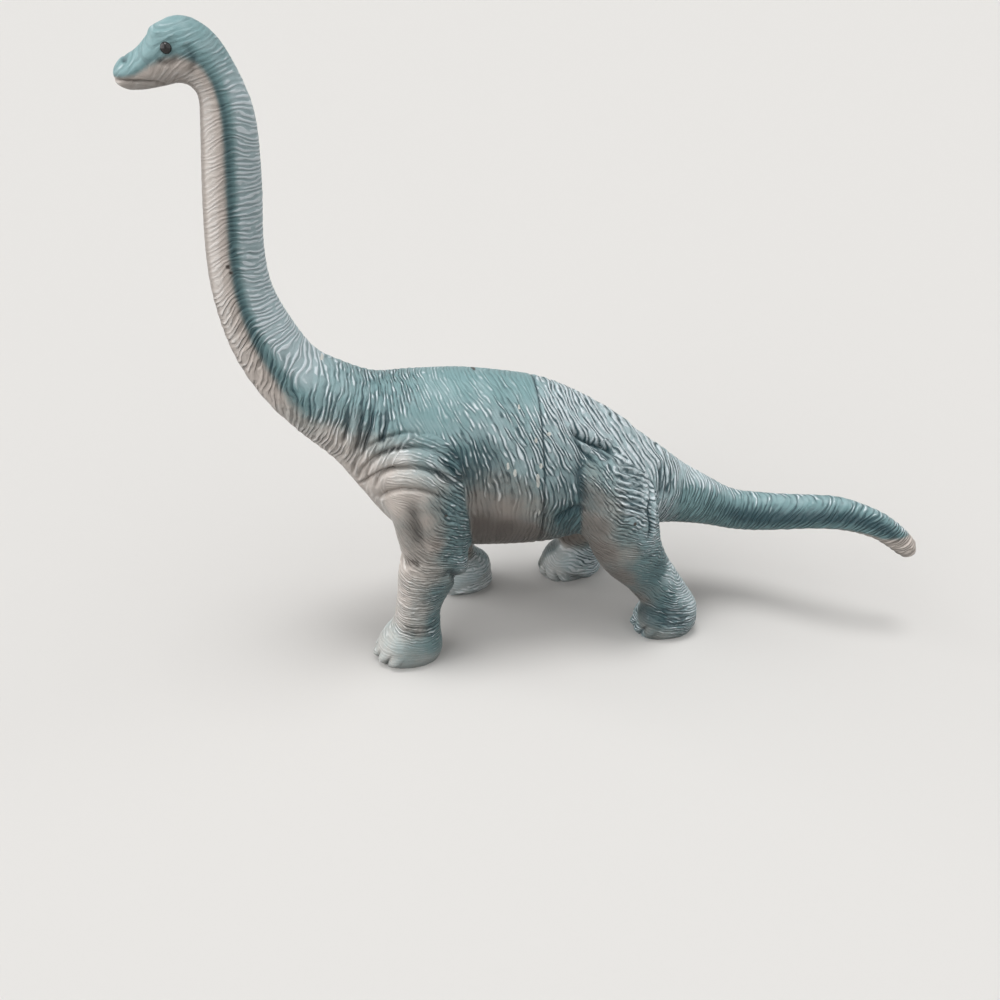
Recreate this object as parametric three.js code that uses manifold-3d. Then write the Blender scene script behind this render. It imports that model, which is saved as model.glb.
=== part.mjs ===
// Toy dinosaur figure, a long-necked plant eater moulded in soft vinyl, standing on four legs.
// Millimetres, +Z up. The animal faces -X and its left side is -Y. Its tail points to +X and swings
// to the left.
// Two hollow body shells meet in a spigot joint at the waist. The neck with the head, the tail
// and the four legs are solid mouldings, each held by a keyed, barbed plug in a wall of its shell.
import * as THREE from 'three';
import { mergeVertices } from 'three/addons/utils/BufferGeometryUtils.js';
import Module from 'manifold-3d';

const wasm = await Module();
wasm.setup();

// Body sizes
const torsoLength = 100; // from the middle of the forefeet back to the root of the tail
const backHeight = 120; // floor to the top of the back
const torsoWidth = 59;
const neckLength = 100; // neck root to nape
const neckWidth = 20;
const headLength = 39;
const headWidth = 18;
const tailLength = 106; // how far the tail reaches behind its root
const tailWidth = 33; // across the root of the tail

// Leg sizes
const footLength = 29;
const footHeight = 19;
const legWidth = 24; // across the thick part of a leg
const foreTrack = 47; // middle of one forefoot to the middle of the other
const hindTrack = 49;
const foreStep = 29.5; // how far the left forefoot stands ahead of the right
const hindStep = 33; // how far the right hind foot stands ahead of the left
const toeDepth = 1.6; // groove between two toes

// Skin sizes
const rollDepth = 1.1; // how far a shoulder roll stands out
const foldDepth = 0.8; // depth of the folds at the neck's root
const foldPitch = 6.5;

// Head sizes
const eyeRadius = 2.1;
const eyeProud = 0.8; // how far an eye stands out of the head
const nostrilRadius = 0.9;
const mouthGap = 0.8; // height of the mouth line
const mouthDepth = 1.2;

// Joint sizes
const shellWall = 3;
const fitGap = 0.3; // clearance between any two mouldings
const spigotReach = 7; // how far the rear shell's collar enters the front shell
const spigotRoot = 5; // length of the collar's root behind the waist
const spigotWall = 2.2;
const legPlugRadius = 6.5;
const neckPlugRadius = 7;
const tailPlugRadius = 7;
const barbHeight = 1.4; // how far a barb stands out of its plug
const barbLength = 4;
const keyFlat = 1.5; // depth of the flat that keys a plug against turning
const plugRoot = 4; // length of a plug that lies inside its own moulding

// Facets
const trunkSides = 28;
const hollowSides = 20;
const legSides = 24;
const overrun = 3 * torsoLength; // size of the blocks that cut the mouldings apart

// Outline of the trunk, as stations from the snout to the tail's tip. Each row gives the underside
// point, the upper point, the half width, and how many rings lead to the next row.
// Torso rows are shares of torsoLength, backHeight and torsoWidth, from the middle of the forefeet.
const torsoShares = [
  [-0.42, 0.79, -0.21, 1.05, 0.38, 3],
  [-0.32, 0.66, -0.08, 1.05, 0.45, 2],
  [-0.2, 0.51, 0.03, 1.05, 0.485, 2],
  [-0.02, 0.41, 0.14, 1.045, 0.5, 2],
  [0.2, 0.378, 0.28, 1.025, 0.5, 2],
  [0.45, 0.37, 0.45, 0.99, 0.5, 2],
  [0.62, 0.395, 0.62, 0.92, 0.47, 2],
  [0.78, 0.415, 0.8, 0.82, 0.4, 2],
];
// Neck rows are shares of neckLength and neckWidth, from the neck's root.
const neckRootShares = [-0.44, 1.0]; // of torsoLength and backHeight
const neckShares = [
  [-0.29, 1.12, -0.13, 1.14, 0.44, 2],
  [-0.3, 1.03, -0.11, 1.02, 0.475, 3],
  [-0.33, 0.8, -0.12, 0.81, 0.5, 3],
  [-0.35, 0.58, -0.14, 0.61, 0.52, 3],
  [-0.345, 0.4, -0.13, 0.46, 0.56, 3],
  [-0.305, 0.2, -0.08, 0.33, 0.63, 3],
  [-0.22, 0.02, 0.0, 0.19, 0.76, 5],
  [-0.1, -0.13, 0.1, 0.12, 0.93, 5],
];
// Head rows are shares of headLength and headWidth, from the nape. The first row is the snout's tip.
const napeShares = [-0.16, 1.17]; // of neckLength, from the neck's root
const headShares = [
  [-1.0, 0.05, -0.99, 0.1, 0.1, 2],
  [-0.94, -0.04, -0.92, 0.19, 0.4, 2],
  [-0.8, -0.06, -0.76, 0.27, 0.46, 2],
  [-0.67, -0.05, -0.6, 0.43, 0.49, 2],
  [-0.54, -0.03, -0.4, 0.51, 0.5, 2],
  [-0.45, -0.01, -0.2, 0.43, 0.5, 2],
  [-0.37, -0.04, -0.06, 0.26, 0.48, 2],
];
// Tail rows are shares of tailLength and tailWidth, from the tail's root. The last number of each is
// how far the tail swings to the animal's left there, a share of tailLength.
const tailRootShares = [1.01, 0.517]; // of torsoLength and backHeight
const tailShares = [
  [-0.1, -0.143, -0.1, 0.252, 0.62, 2, 0],
  [0.0, -0.155, 0.0, 0.174, 0.5, 2, 0],
  [0.084, -0.171, 0.088, 0.098, 0.42, 2, 0.002],
  [0.192, -0.192, 0.202, 0.024, 0.35, 2, 0.012],
  [0.312, -0.215, 0.321, -0.042, 0.302, 2, 0.038],
  [0.424, -0.207, 0.428, -0.044, 0.288, 2, 0.082],
  [0.518, -0.176, 0.518, -0.027, 0.275, 2, 0.139],
  [0.613, -0.141, 0.617, 0.002, 0.255, 2, 0.206],
  [0.691, -0.125, 0.7, 0.017, 0.228, 2, 0.258],
  [0.757, -0.124, 0.798, -0.006, 0.195, 2, 0.304],
  [0.819, -0.14, 0.867, -0.035, 0.168, 2, 0.336],
  [0.888, -0.184, 0.941, -0.091, 0.143, 2, 0.362],
  [0.942, -0.222, 0.995, -0.153, 0.117, 2, 0.379],
  [0.994, -0.221, 1.0, -0.209, 0.03, 0, 0.386],
];
const ridgeShare = 0.12; // how much narrower the trunk is above its middle than below

// Outline of the legs, from the sole up. Each row gives the front point, the rear point, how far
// the row's middle lies out from the animal's middle, and the half width.
// Across, x is a share of footLength from the middle of the foot; z is a share of footHeight.
const footShares = [
  [-0.46, 0.0, 0.44, 0.0, 0.36],
  [-0.51, 0.2, 0.5, 0.2, 0.46],
  [-0.48, 0.48, 0.5, 0.48, 0.48],
  [-0.38, 0.74, 0.48, 0.76, 0.45],
];
// Above the foot, x is a share of torsoLength from the middle of the forefeet, z of backHeight,
// the middle's distance out a share of the half track, the half width a share of legWidth, and the
// last number is how many rings lead to the next row.
const foreLegShares = [
  [-0.23, 0.16, -0.025, 0.16, 1.0, 0.42, 2],
  [-0.215, 0.225, -0.02, 0.225, 1.0, 0.4, 2],
  [-0.203, 0.3, 0.02, 0.3, 1.01, 0.42, 2],
  [-0.195, 0.385, 0.08, 0.385, 1.03, 0.455, 2],
  [-0.178, 0.46, 0.102, 0.45, 1.03, 0.465, 2],
  [-0.19, 0.535, 0.105, 0.535, 1.01, 0.485, 2],
  [-0.21, 0.635, 0.11, 0.625, 0.98, 0.5, 3],
  [-0.226, 0.73, 0.112, 0.71, 0.94, 0.49, 5],
  [-0.222, 0.82, 0.106, 0.8, 0.88, 0.46, 5],
  [-0.19, 0.89, 0.08, 0.875, 0.79, 0.39, 3],
  [-0.12, 0.935, 0.02, 0.925, 0.68, 0.26, 0],
];
const hindLegShares = [
  [0.875, 0.142, 1.12, 0.15, 1.0, 0.43, 2],
  [0.845, 0.18, 1.075, 0.21, 1.0, 0.395, 2],
  [0.785, 0.24, 1.025, 0.28, 1.0, 0.4, 2],
  [0.71, 0.3, 0.975, 0.35, 1.0, 0.45, 2],
  [0.65, 0.375, 0.94, 0.425, 1.0, 0.51, 2],
  [0.6, 0.48, 0.925, 0.5, 0.98, 0.54, 2],
  [0.56, 0.6, 0.915, 0.57, 0.92, 0.55, 2],
  [0.535, 0.7, 0.89, 0.63, 0.84, 0.5, 2],
  [0.545, 0.78, 0.85, 0.68, 0.76, 0.4, 2],
  [0.59, 0.82, 0.79, 0.73, 0.68, 0.24, 2],
];
const foreFootShare = -0.165; // middle of the left forefoot, of torsoLength
const hindFootShare = 1.0;
const foreHipShare = 0.74; // height above which a foreleg no longer swings, of backHeight
const hindHipShare = 0.66;
const footRings = 2; // rings from one row of a foot to the next
const toeCount = 5;
const toeArcShare = 0.417; // part of the foot's outline that carries toes
const toeHeightShare = 0.75; // of footHeight, where the toe grooves fade out
const rollShares = [0.735, 0.8, 0.865]; // heights of the shoulder rolls, of backHeight
const rollBandShare = 0.018; // half height of one roll, of backHeight

// Places of the joints, as shares of torsoLength and backHeight
const waistShares = [0.42, 0.4]; // the waist at the top and at the bottom, of torsoLength
const foreSocketShares = [-0.05, 0.64];
const hindSocketShares = [0.73, 0.6];

// Materials
const skinOptions = { roughness: 0.5, metalness: 0 };
const nodeColours = {
  front_body_shell: 0x7fa3a4,
  rear_body_shell: 0x86a8a6,
  neck_and_head: 0x93b0b2,
  tail: 0x8fb0b0,
  fore_leg_left: 0xa9a39c,
  fore_leg_right: 0xa9a39c,
  hind_leg_left: 0x9aa6a3,
  hind_leg_right: 0x9aa6a3,
};

// A point in the animal's middle plane
const sidePoint = (x, z) => new THREE.Vector3(x, 0, z);

// Turns rows of shares into stations: underside point, upper point, half width, rings to the next
// and the middle's place across, which is 0 but where the tail swings to the animal's left
function stationsFrom(rows, originX, originZ, xSize, zSize, width) {
  return rows.map(([lowX, lowZ, highX, highZ, half, rings, swing = 0]) => ({
    low: sidePoint(originX + lowX * xSize, originZ + lowZ * zSize),
    high: sidePoint(originX + highX * xSize, originZ + highZ * zSize),
    half: half * width,
    rings,
    out: -swing * xSize,
  }));
}

const neckRootX = neckRootShares[0] * torsoLength;
const neckRootZ = neckRootShares[1] * backHeight;
const napeX = neckRootX + napeShares[0] * neckLength;
const napeZ = neckRootZ + napeShares[1] * neckLength;
const tailRootX = tailRootShares[0] * torsoLength;
const tailRootZ = tailRootShares[1] * backHeight;

const headStations = stationsFrom(headShares, napeX, napeZ, headLength, headLength, headWidth);
const neckStations = stationsFrom(neckShares, neckRootX, neckRootZ, neckLength, neckLength, neckWidth);
const torsoStations = stationsFrom(torsoShares, 0, 0, torsoLength, backHeight, torsoWidth);
const tailStations = stationsFrom(tailShares, tailRootX, tailRootZ, tailLength, tailLength, tailWidth);
const trunkStations = [...headStations, ...neckStations, ...torsoStations, ...tailStations];
const neckJoint = neckStations[neckStations.length - 1];
const tailJoint = tailStations[1];
const waistJoint = {
  low: sidePoint(waistShares[1] * torsoLength, 0),
  high: sidePoint(waistShares[0] * torsoLength, backHeight),
};

// Makes a Manifold solid of a closed geometry
function solidOf(geometry) {
  geometry.deleteAttribute('normal');
  geometry.deleteAttribute('uv');
  const merged = mergeVertices(geometry);
  return new wasm.Manifold(new wasm.Mesh({
    numProp: 3,
    vertProperties: new Float32Array(merged.attributes.position.array),
    triVerts: new Uint32Array(merged.index.array),
  }));
}

// Closed skin over a stack of rings, each a loop of as many points, with a fan over either end
function skinOver(rings) {
  const sides = rings[0].length;
  const ends = [rings[0], rings[rings.length - 1]].map((ring) => {
    const middle = new THREE.Vector3();
    ring.forEach((point) => middle.addScaledVector(point, 1 / sides));
    return middle;
  });
  const points = [...rings.flat(), ...ends];
  const faces = [];
  for (let r = 0; r < rings.length - 1; r += 1) {
    for (let s = 0; s < sides; s += 1) {
      const a = r * sides + s;
      const b = r * sides + ((s + 1) % sides);
      faces.push(a, b, b + sides, a, b + sides, a + sides);
    }
  }
  const last = (rings.length - 1) * sides;
  for (let s = 0; s < sides; s += 1) {
    const next = (s + 1) % sides;
    faces.push(points.length - 2, next, s);
    faces.push(points.length - 1, last + s, last + next);
  }
  const geometry = new THREE.BufferGeometry();
  const flat = new Float32Array(points.flatMap((point) => point.toArray()));
  geometry.setAttribute('position', new THREE.BufferAttribute(flat, 3));
  geometry.setIndex(faces);
  return solidOf(geometry);
}

// Catmull-Rom blend of four values
function blend(a, b, c, d, t) {
  const square = t * t;
  const cube = square * t;
  return (
    2 * b + (c - a) * t + (2 * a - 5 * b + 4 * c - d) * square + (3 * b - a - 3 * c + d) * cube
  ) / 2;
}

// Sections between the stations, on a smooth curve through all of them
function sectionsAlong(stations) {
  const sections = [];
  const at = (k) => stations[Math.min(Math.max(k, 0), stations.length - 1)];
  stations.forEach((station, k) => {
    const steps = k < stations.length - 1 ? station.rings : 1;
    for (let i = 0; i < steps; i += 1) {
      const mix = (pick) => blend(pick(at(k - 1)), pick(station), pick(at(k + 1)), pick(at(k + 2)), i / steps);
      sections.push({
        low: sidePoint(mix((q) => q.low.x), mix((q) => q.low.z)),
        high: sidePoint(mix((q) => q.high.x), mix((q) => q.high.z)),
        half: mix((q) => q.half),
        out: mix((q) => q.out),
      });
    }
  });
  return sections;
}

// Depth of the skin folds at a place on the trunk: waves at foldPitch round the neck's root, which
// fade out with the distance from it
function foldAt(point) {
  const distance = point.distanceTo(sidePoint(neckRootX, neckRootZ));
  const reach = 2 * foldPitch;
  const along = (point.x - neckRootX) * 0.8 + (neckRootZ - point.z) * 0.6;
  const fade = Math.exp(-((along / reach) ** 2)) * Math.exp(-((distance / (2 * reach)) ** 4));
  return foldDepth * fade * Math.sin((2 * Math.PI * along) / foldPitch);
}

// Ring of a trunk section: an egg-shaped loop whose upper half is the narrower, grown by an offset
function trunkRing(section, offset, sides) {
  const middle = section.low.clone().lerp(section.high, 0.5);
  const up = section.high.clone().sub(section.low);
  const tall = Math.max(up.length() / 2 + offset, fitGap);
  const wide = Math.max(section.half + offset, fitGap);
  up.normalize();
  return Array.from({ length: sides }, (_, s) => {
    const angle = (2 * Math.PI * s) / sides;
    const lift = Math.sin(angle);
    const across = Math.cos(angle) * (1 - ridgeShare * lift);
    const place = middle.clone().addScaledVector(up, lift * (tall - offset));
    const fold = offset < 0 ? 0 : (foldAt(place) * (1 - lift)) / 2;
    const point = middle.clone().addScaledVector(up, lift * (tall + fold));
    point.y = section.out + across * (wide + fold);
    return point;
  });
}

// The whole trunk from snout to tail tip as one solid, grown by an offset
const trunkSections = sectionsAlong(trunkStations);
const trunkGrown = (offset) => skinOver(trunkSections.map((section) => trunkRing(section, offset, trunkSides)));

// The torso shrunk by a depth, on its stations alone, for the hollow and what fits in it
const coreStations = [...neckStations.slice(-1), ...torsoStations, ...tailStations.slice(0, 2)];
const torsoCore = (depth) => skinOver(coreStations.map((station) => trunkRing(station, -depth, hollowSides)));

// Block on one side of a joint's plane, from a shift behind the plane on. Behind is the tail's side.
function blockAt(joint, shift, behind) {
  const middle = joint.low.clone().lerp(joint.high, 0.5);
  const up = joint.high.clone().sub(joint.low).normalize();
  const back = new THREE.Vector3(up.z, 0, -up.x);
  const side = new THREE.Vector3().crossVectors(up, back);
  const block = new THREE.BoxGeometry(overrun, overrun, overrun);
  const reach = shift + (behind ? overrun / 2 : -overrun / 2);
  block.applyMatrix4(new THREE.Matrix4().makeBasis(back, side, up));
  block.translate(...middle.addScaledVector(back, reach).toArray());
  return solidOf(block);
}
const behind = (joint, shift) => blockAt(joint, shift, true);
const before = (joint, shift) => blockAt(joint, shift, false);

// Round bar with a flat along it, from a point along a direction
function keyedBar(radius, from, along, length) {
  const outline = new THREE.Shape();
  const half = Math.acos((radius - keyFlat) / radius);
  outline.absarc(0, 0, radius, half, 2 * Math.PI - half, false);
  outline.closePath();
  const bar = new THREE.ExtrudeGeometry(outline, { depth: length, bevelEnabled: false, curveSegments: 10 });
  const turn = new THREE.Quaternion().setFromUnitVectors(new THREE.Vector3(0, 0, 1), along);
  bar.applyQuaternion(turn);
  bar.translate(...from.toArray());
  return solidOf(bar);
}

// Plug of a limb: it starts in the limb, crosses the shell's wall and ends in a barb behind it.
// The seat is the point on the wall's outer face, and the wall is as deep as it is there.
function plugAt(radius, seat, along, wallDepth) {
  const start = seat.clone().addScaledVector(along, -plugRoot);
  const shank = keyedBar(radius, start, along, plugRoot + wallDepth + fitGap + barbLength);
  const barbStart = seat.clone().addScaledVector(along, wallDepth + fitGap);
  return shank.add(keyedBar(radius + barbHeight, barbStart, along, barbLength));
}

// Hole in the shell for that plug
function holeAt(radius, seat, along, wallDepth) {
  const start = seat.clone().addScaledVector(along, -plugRoot);
  return keyedBar(radius + fitGap, start, along, plugRoot + wallDepth + shellWall);
}

// Joint of the neck or the tail: its plug's seat and direction, square to the joint's plane
function endPlug(joint, inward) {
  const seat = joint.low.clone().lerp(joint.high, 0.5);
  const up = joint.high.clone().sub(joint.low).normalize();
  const along = new THREE.Vector3(up.z, 0, -up.x).multiplyScalar(inward);
  return { seat, along };
}

// Half width of the torso at a place in its side view, shrunk by a depth
const torsoSections = sectionsAlong(torsoStations);
function halfWidthAt(x, z, depth) {
  const crossing = ({ low, high }) => low.x + ((high.x - low.x) * (z - low.z)) / (high.z - low.z);
  const nearer = (a, b) => (Math.abs(crossing(b) - x) < Math.abs(crossing(a) - x) ? b : a);
  const section = torsoSections.reduce(nearer);
  const tall = (section.high.z - section.low.z) / 2 - depth;
  const lift = (z - (section.high.z + section.low.z) / 2) / tall;
  return (section.half - depth) * Math.sqrt(1 - lift * lift) * (1 - ridgeShare * lift);
}

// Socket of a leg, whose plug runs level and straight across the animal. The seat lies on the
// torso's widest point under the plug, and the wall reaches in past the narrowest point of the hollow.
function legSocket(shares, side) {
  const x = shares[0] * torsoLength;
  const z = shares[1] * backHeight;
  const reach = legPlugRadius + barbHeight;
  const places = [-reach, 0, reach].flatMap((dx) => [-reach, 0, reach].map((dz) => [x + dx, z + dz]));
  const outer = Math.max(...places.map(([px, pz]) => halfWidthAt(px, pz, 0)));
  const inner = Math.min(...places.map(([px, pz]) => halfWidthAt(px, pz, shellWall)));
  return {
    seat: new THREE.Vector3(x, side * outer, z),
    along: new THREE.Vector3(0, -side, 0),
    wallDepth: outer - inner + fitGap,
  };
}

// Stations of a leg: the foot's rows, then the rows above it. The step swings the foot along X and
// fades out at the hip. Shoulder rolls stand out of the skin at their heights.
function legStations(rows, footShare, hipShare, track, step) {
  const middle = footShare * torsoLength;
  const swing = (z) => step * Math.max(0, 1 - z / (hipShare * backHeight));
  const foot = footShares.map(([frontX, frontZ, rearX, rearZ, half]) => ({
    low: sidePoint(middle + frontX * footLength + swing(0), frontZ * footHeight),
    high: sidePoint(middle + rearX * footLength + swing(0), rearZ * footHeight),
    half: half * legWidth,
    out: track / 2,
    rings: footRings,
  }));
  const shank = rows.map(([frontX, frontZ, rearX, rearZ, out, half, rings]) => ({
    low: sidePoint(frontX * torsoLength + swing(frontZ * backHeight), frontZ * backHeight),
    high: sidePoint(rearX * torsoLength + swing(rearZ * backHeight), rearZ * backHeight),
    half: half * legWidth,
    out: (out * track) / 2,
    rings,
  }));
  return [...foot, ...shank];
}

// Groove depth between the toes, at an angle round the foot from its front
function toeGroove(angle, z) {
  const arc = toeArcShare * Math.PI;
  const fade = Math.max(0, 1 - z / (toeHeightShare * footHeight));
  const inArc = Math.abs(angle) < arc ? Math.cos((angle / arc) * (Math.PI / 2)) ** 0.5 : 0;
  return toeDepth * Math.min(1, 2 * fade) * inArc * Math.sin((toeCount * Math.PI * angle) / (2 * arc)) ** 4;
}

// How far the shoulder rolls stand out at a height
function rollAt(z, hasRolls) {
  if (!hasRolls) return 0;
  const band = rollBandShare * backHeight;
  return rollShares.reduce((sum, share) => sum + rollDepth * Math.exp(-(((z - share * backHeight) / band) ** 2)), 0);
}

// Ring of a leg: a rounded loop between the front and the rear point
function legRing(section, side, hasRolls) {
  const middle = section.low.clone().lerp(section.high, 0.5);
  const forward = section.low.clone().sub(section.high);
  const long = forward.length() / 2;
  forward.normalize();
  const flat = (value) => Math.sign(value) * Math.abs(value) ** 0.9;
  return Array.from({ length: legSides }, (_, s) => {
    const angle = Math.PI - (2 * Math.PI * s) / legSides;
    const dent = toeGroove(angle, middle.z) - rollAt(middle.z, hasRolls);
    const point = middle.clone().addScaledVector(forward, (long - dent) * flat(Math.cos(angle)));
    point.y = side * section.out + (section.half - dent) * flat(Math.sin(angle));
    return point;
  });
}

// The four legs: the rows, the foot's place, the hip's height, the track, the step and the socket
const legSpecs = {
  fore_leg_left: [foreLegShares, foreFootShare, foreHipShare, foreTrack, 0, foreSocketShares, -1, true],
  fore_leg_right: [foreLegShares, foreFootShare, foreHipShare, foreTrack, foreStep, foreSocketShares, 1, true],
  hind_leg_left: [hindLegShares, hindFootShare, hindHipShare, hindTrack, 0, hindSocketShares, -1, false],
  hind_leg_right: [hindLegShares, hindFootShare, hindHipShare, hindTrack, -hindStep, hindSocketShares, 1, false],
};

const trunkClear = trunkGrown(fitGap);

function leg(rows, footShare, hipShare, track, step, socketShares, side, hasRolls) {
  const stations = legStations(rows, footShare, hipShare, track, step);
  const rings = sectionsAlong(stations).map((section) => legRing(section, side, hasRolls));
  const socket = legSocket(socketShares, side);
  const plug = plugAt(legPlugRadius, socket.seat, socket.along, socket.wallDepth);
  return skinOver(rings).subtract(trunkClear).add(plug);
}

function legHoles(legNames) {
  return legNames.map((name) => {
    const socket = legSocket(legSpecs[name][5], legSpecs[name][6]);
    return holeAt(legPlugRadius, socket.seat, socket.along, socket.wallDepth);
  });
}

// Eyes, nostrils and the line of the mouth
function headDetails(head) {
  const at = (xShare, zShare) => sidePoint(napeX + xShare * headLength, napeZ + zShare * headLength);
  const eyeShares = [-0.5, 0.27];
  const nostrilShares = [-0.86, 0.17];
  let result = head;
  [-1, 1].forEach((side) => {
    const eye = new THREE.SphereGeometry(eyeRadius, 14, 10);
    const eyePlace = at(...eyeShares);
    eyePlace.y = side * (headWidth / 2 - eyeRadius + eyeProud);
    eye.translate(...eyePlace.toArray());
    result = result.add(solidOf(eye));
    const nostril = new THREE.SphereGeometry(nostrilRadius, 10, 8);
    const nostrilPlace = at(...nostrilShares);
    nostrilPlace.y = (side * headWidth) / 4;
    nostril.translate(...nostrilPlace.toArray());
    result = result.subtract(solidOf(nostril));
    const mouth = new THREE.BoxGeometry(headLength / 2, mouthDepth, mouthGap);
    const mouthPlace = at(-0.84, 0.035);
    mouthPlace.y = side * (headWidth / 2 - mouthDepth / 2);
    mouth.translate(...mouthPlace.toArray());
    result = result.subtract(solidOf(mouth));
  });
  return result;
}

// The mouldings
const trunk = trunkGrown(0);
const hollow = torsoCore(shellWall)
  .intersect(behind(neckJoint, shellWall))
  .intersect(before(tailJoint, -shellWall));
const neckPlug = endPlug(neckJoint, 1);
const tailPlug = endPlug(tailJoint, -1);

function neckAndHead() {
  const moulding = headDetails(trunk.intersect(before(neckJoint, -fitGap)));
  return moulding.add(plugAt(neckPlugRadius, neckPlug.seat, neckPlug.along, shellWall));
}

function tail() {
  const moulding = trunk.intersect(behind(tailJoint, fitGap));
  return moulding.add(plugAt(tailPlugRadius, tailPlug.seat, tailPlug.along, shellWall));
}

function frontBodyShell() {
  const outer = trunk.intersect(behind(neckJoint, 0)).intersect(before(waistJoint, 0));
  const holes = [
    holeAt(neckPlugRadius, neckPlug.seat, neckPlug.along, shellWall),
    ...legHoles(['fore_leg_left', 'fore_leg_right']),
  ];
  return holes.reduce((shell, hole) => shell.subtract(hole), outer.subtract(hollow));
}

// The rear shell's collar: a band one clearance inside the front shell's wall, on a thicker root
function waistCollar() {
  const band = torsoCore(shellWall + fitGap).intersect(behind(waistJoint, -spigotReach));
  const root = torsoCore(shellWall / 2).intersect(behind(waistJoint, fitGap));
  const bore = torsoCore(shellWall + fitGap + spigotWall);
  return band.add(root).intersect(before(waistJoint, spigotRoot)).subtract(bore);
}

function rearBodyShell() {
  const outer = trunk.intersect(behind(waistJoint, fitGap)).intersect(before(tailJoint, 0));
  const holes = [
    holeAt(tailPlugRadius, tailPlug.seat, tailPlug.along, shellWall),
    ...legHoles(['hind_leg_left', 'hind_leg_right']),
  ];
  return holes.reduce((shell, hole) => shell.subtract(hole), outer.subtract(hollow).add(waistCollar()));
}

// Named mesh of a solid
function meshOf(name, solid) {
  const { vertProperties, triVerts } = solid.getMesh();
  const geometry = new THREE.BufferGeometry();
  geometry.setAttribute('position', new THREE.BufferAttribute(vertProperties, 3));
  geometry.setIndex(new THREE.BufferAttribute(triVerts, 1));
  geometry.computeVertexNormals();
  const mesh = new THREE.Mesh(geometry, new THREE.MeshStandardMaterial({ color: nodeColours[name], ...skinOptions }));
  mesh.name = name;
  return mesh;
}

const figure = new THREE.Group();
figure.add(meshOf('neck_and_head', neckAndHead()));
figure.add(meshOf('front_body_shell', frontBodyShell()));
figure.add(meshOf('rear_body_shell', rearBodyShell()));
figure.add(meshOf('tail', tail()));
Object.entries(legSpecs).forEach(([name, spec]) => figure.add(meshOf(name, leg(...spec))));

// The origin is the middle of the figure's box, on the floor
const box = new THREE.Box3().setFromObject(figure);
figure.position.set(-(box.min.x + box.max.x) / 2, -(box.min.y + box.max.y) / 2, -box.min.z);

export default figure;
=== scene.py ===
# Long-necked toy dinosaur, moulded in soft vinyl: the looks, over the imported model.
# Shapes are worked out in millimetres, with x = 0 between the forefeet, y = 0 in the middle plane
# and z = 0 on the floor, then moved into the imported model's frame in metres.
import bpy
import numpy as np
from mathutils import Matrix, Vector
from mathutils.bvhtree import BVHTree


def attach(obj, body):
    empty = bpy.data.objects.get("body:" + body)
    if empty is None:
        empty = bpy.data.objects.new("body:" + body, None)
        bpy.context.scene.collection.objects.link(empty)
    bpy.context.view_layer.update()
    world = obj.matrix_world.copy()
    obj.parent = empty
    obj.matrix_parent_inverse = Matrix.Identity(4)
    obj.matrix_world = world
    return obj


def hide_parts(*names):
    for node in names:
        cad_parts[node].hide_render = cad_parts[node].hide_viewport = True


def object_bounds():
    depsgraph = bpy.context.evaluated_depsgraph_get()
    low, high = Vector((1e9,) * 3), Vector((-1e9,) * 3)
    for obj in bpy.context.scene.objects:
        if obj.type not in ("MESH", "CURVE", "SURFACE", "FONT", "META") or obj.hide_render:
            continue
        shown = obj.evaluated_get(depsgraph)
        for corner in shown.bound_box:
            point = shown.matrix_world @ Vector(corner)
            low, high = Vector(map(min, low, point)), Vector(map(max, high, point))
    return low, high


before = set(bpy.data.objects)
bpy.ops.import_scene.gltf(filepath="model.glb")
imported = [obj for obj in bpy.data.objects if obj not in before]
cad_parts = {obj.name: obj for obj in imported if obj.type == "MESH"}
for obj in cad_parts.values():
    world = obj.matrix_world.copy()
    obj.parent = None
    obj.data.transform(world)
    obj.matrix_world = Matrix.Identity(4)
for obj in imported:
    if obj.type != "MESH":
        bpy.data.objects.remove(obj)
cadLow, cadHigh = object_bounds()

metre = 0.001  # one millimetre

figure = {  # main sizes, mm, the same as the solid model's
    "torsoLength": 100, "backHeight": 120, "torsoWidth": 59,
    "neckLength": 100, "neckWidth": 20, "headLength": 39, "headWidth": 18,
    "tailLength": 106, "tailWidth": 33,
    "footLength": 29, "footHeight": 19, "legWidth": 24,
    "foreTrack": 47, "hindTrack": 49, "foreStep": 29.5, "hindStep": 33,
    "hipReach": 37,  # from the middle plane out to the side of a thigh
}
neckRoot = (-0.44 * figure["torsoLength"], 1.0 * figure["backHeight"])
nape = (neckRoot[0] - 0.16 * figure["neckLength"], neckRoot[1] + 1.17 * figure["neckLength"])
tailRoot = (1.01 * figure["torsoLength"], 0.517 * figure["backHeight"])
# the tail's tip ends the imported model's box along x, and the right thigh ends it along y
shift = np.array([cadHigh.x - (tailRoot[0] + figure["tailLength"]) * metre,
                  cadHigh.y - figure["hipReach"] * metre, 0])


def toFrame(points):
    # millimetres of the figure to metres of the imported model
    return np.asarray(points, float) * metre + shift


def addObject(name, data):
    # an object that shows the data, in the scene, at the origin
    obj = bpy.data.objects.new(name, data)
    bpy.context.collection.objects.link(obj)
    return obj


# The camera comes first, because the skin folds are placed through it.
view = {
    "place": (-35.0, -361.2, 300.0),  # mm
    "aim": (0.1442, 0.8262, -0.5446),
    "lens": 36, "sensor": 36, "pixels": 1000,
}
cameraData = bpy.data.cameras.new("camera")
cameraData.lens, cameraData.sensor_width = view["lens"], view["sensor"]
cameraData.clip_start, cameraData.clip_end = 0.01, 10
camera = addObject("camera", cameraData)
camera.location = toFrame(view["place"])
camera.rotation_euler = Vector(view["aim"]).to_track_quat("-Z", "Y").to_euler()
bpy.context.scene.camera = camera


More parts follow.
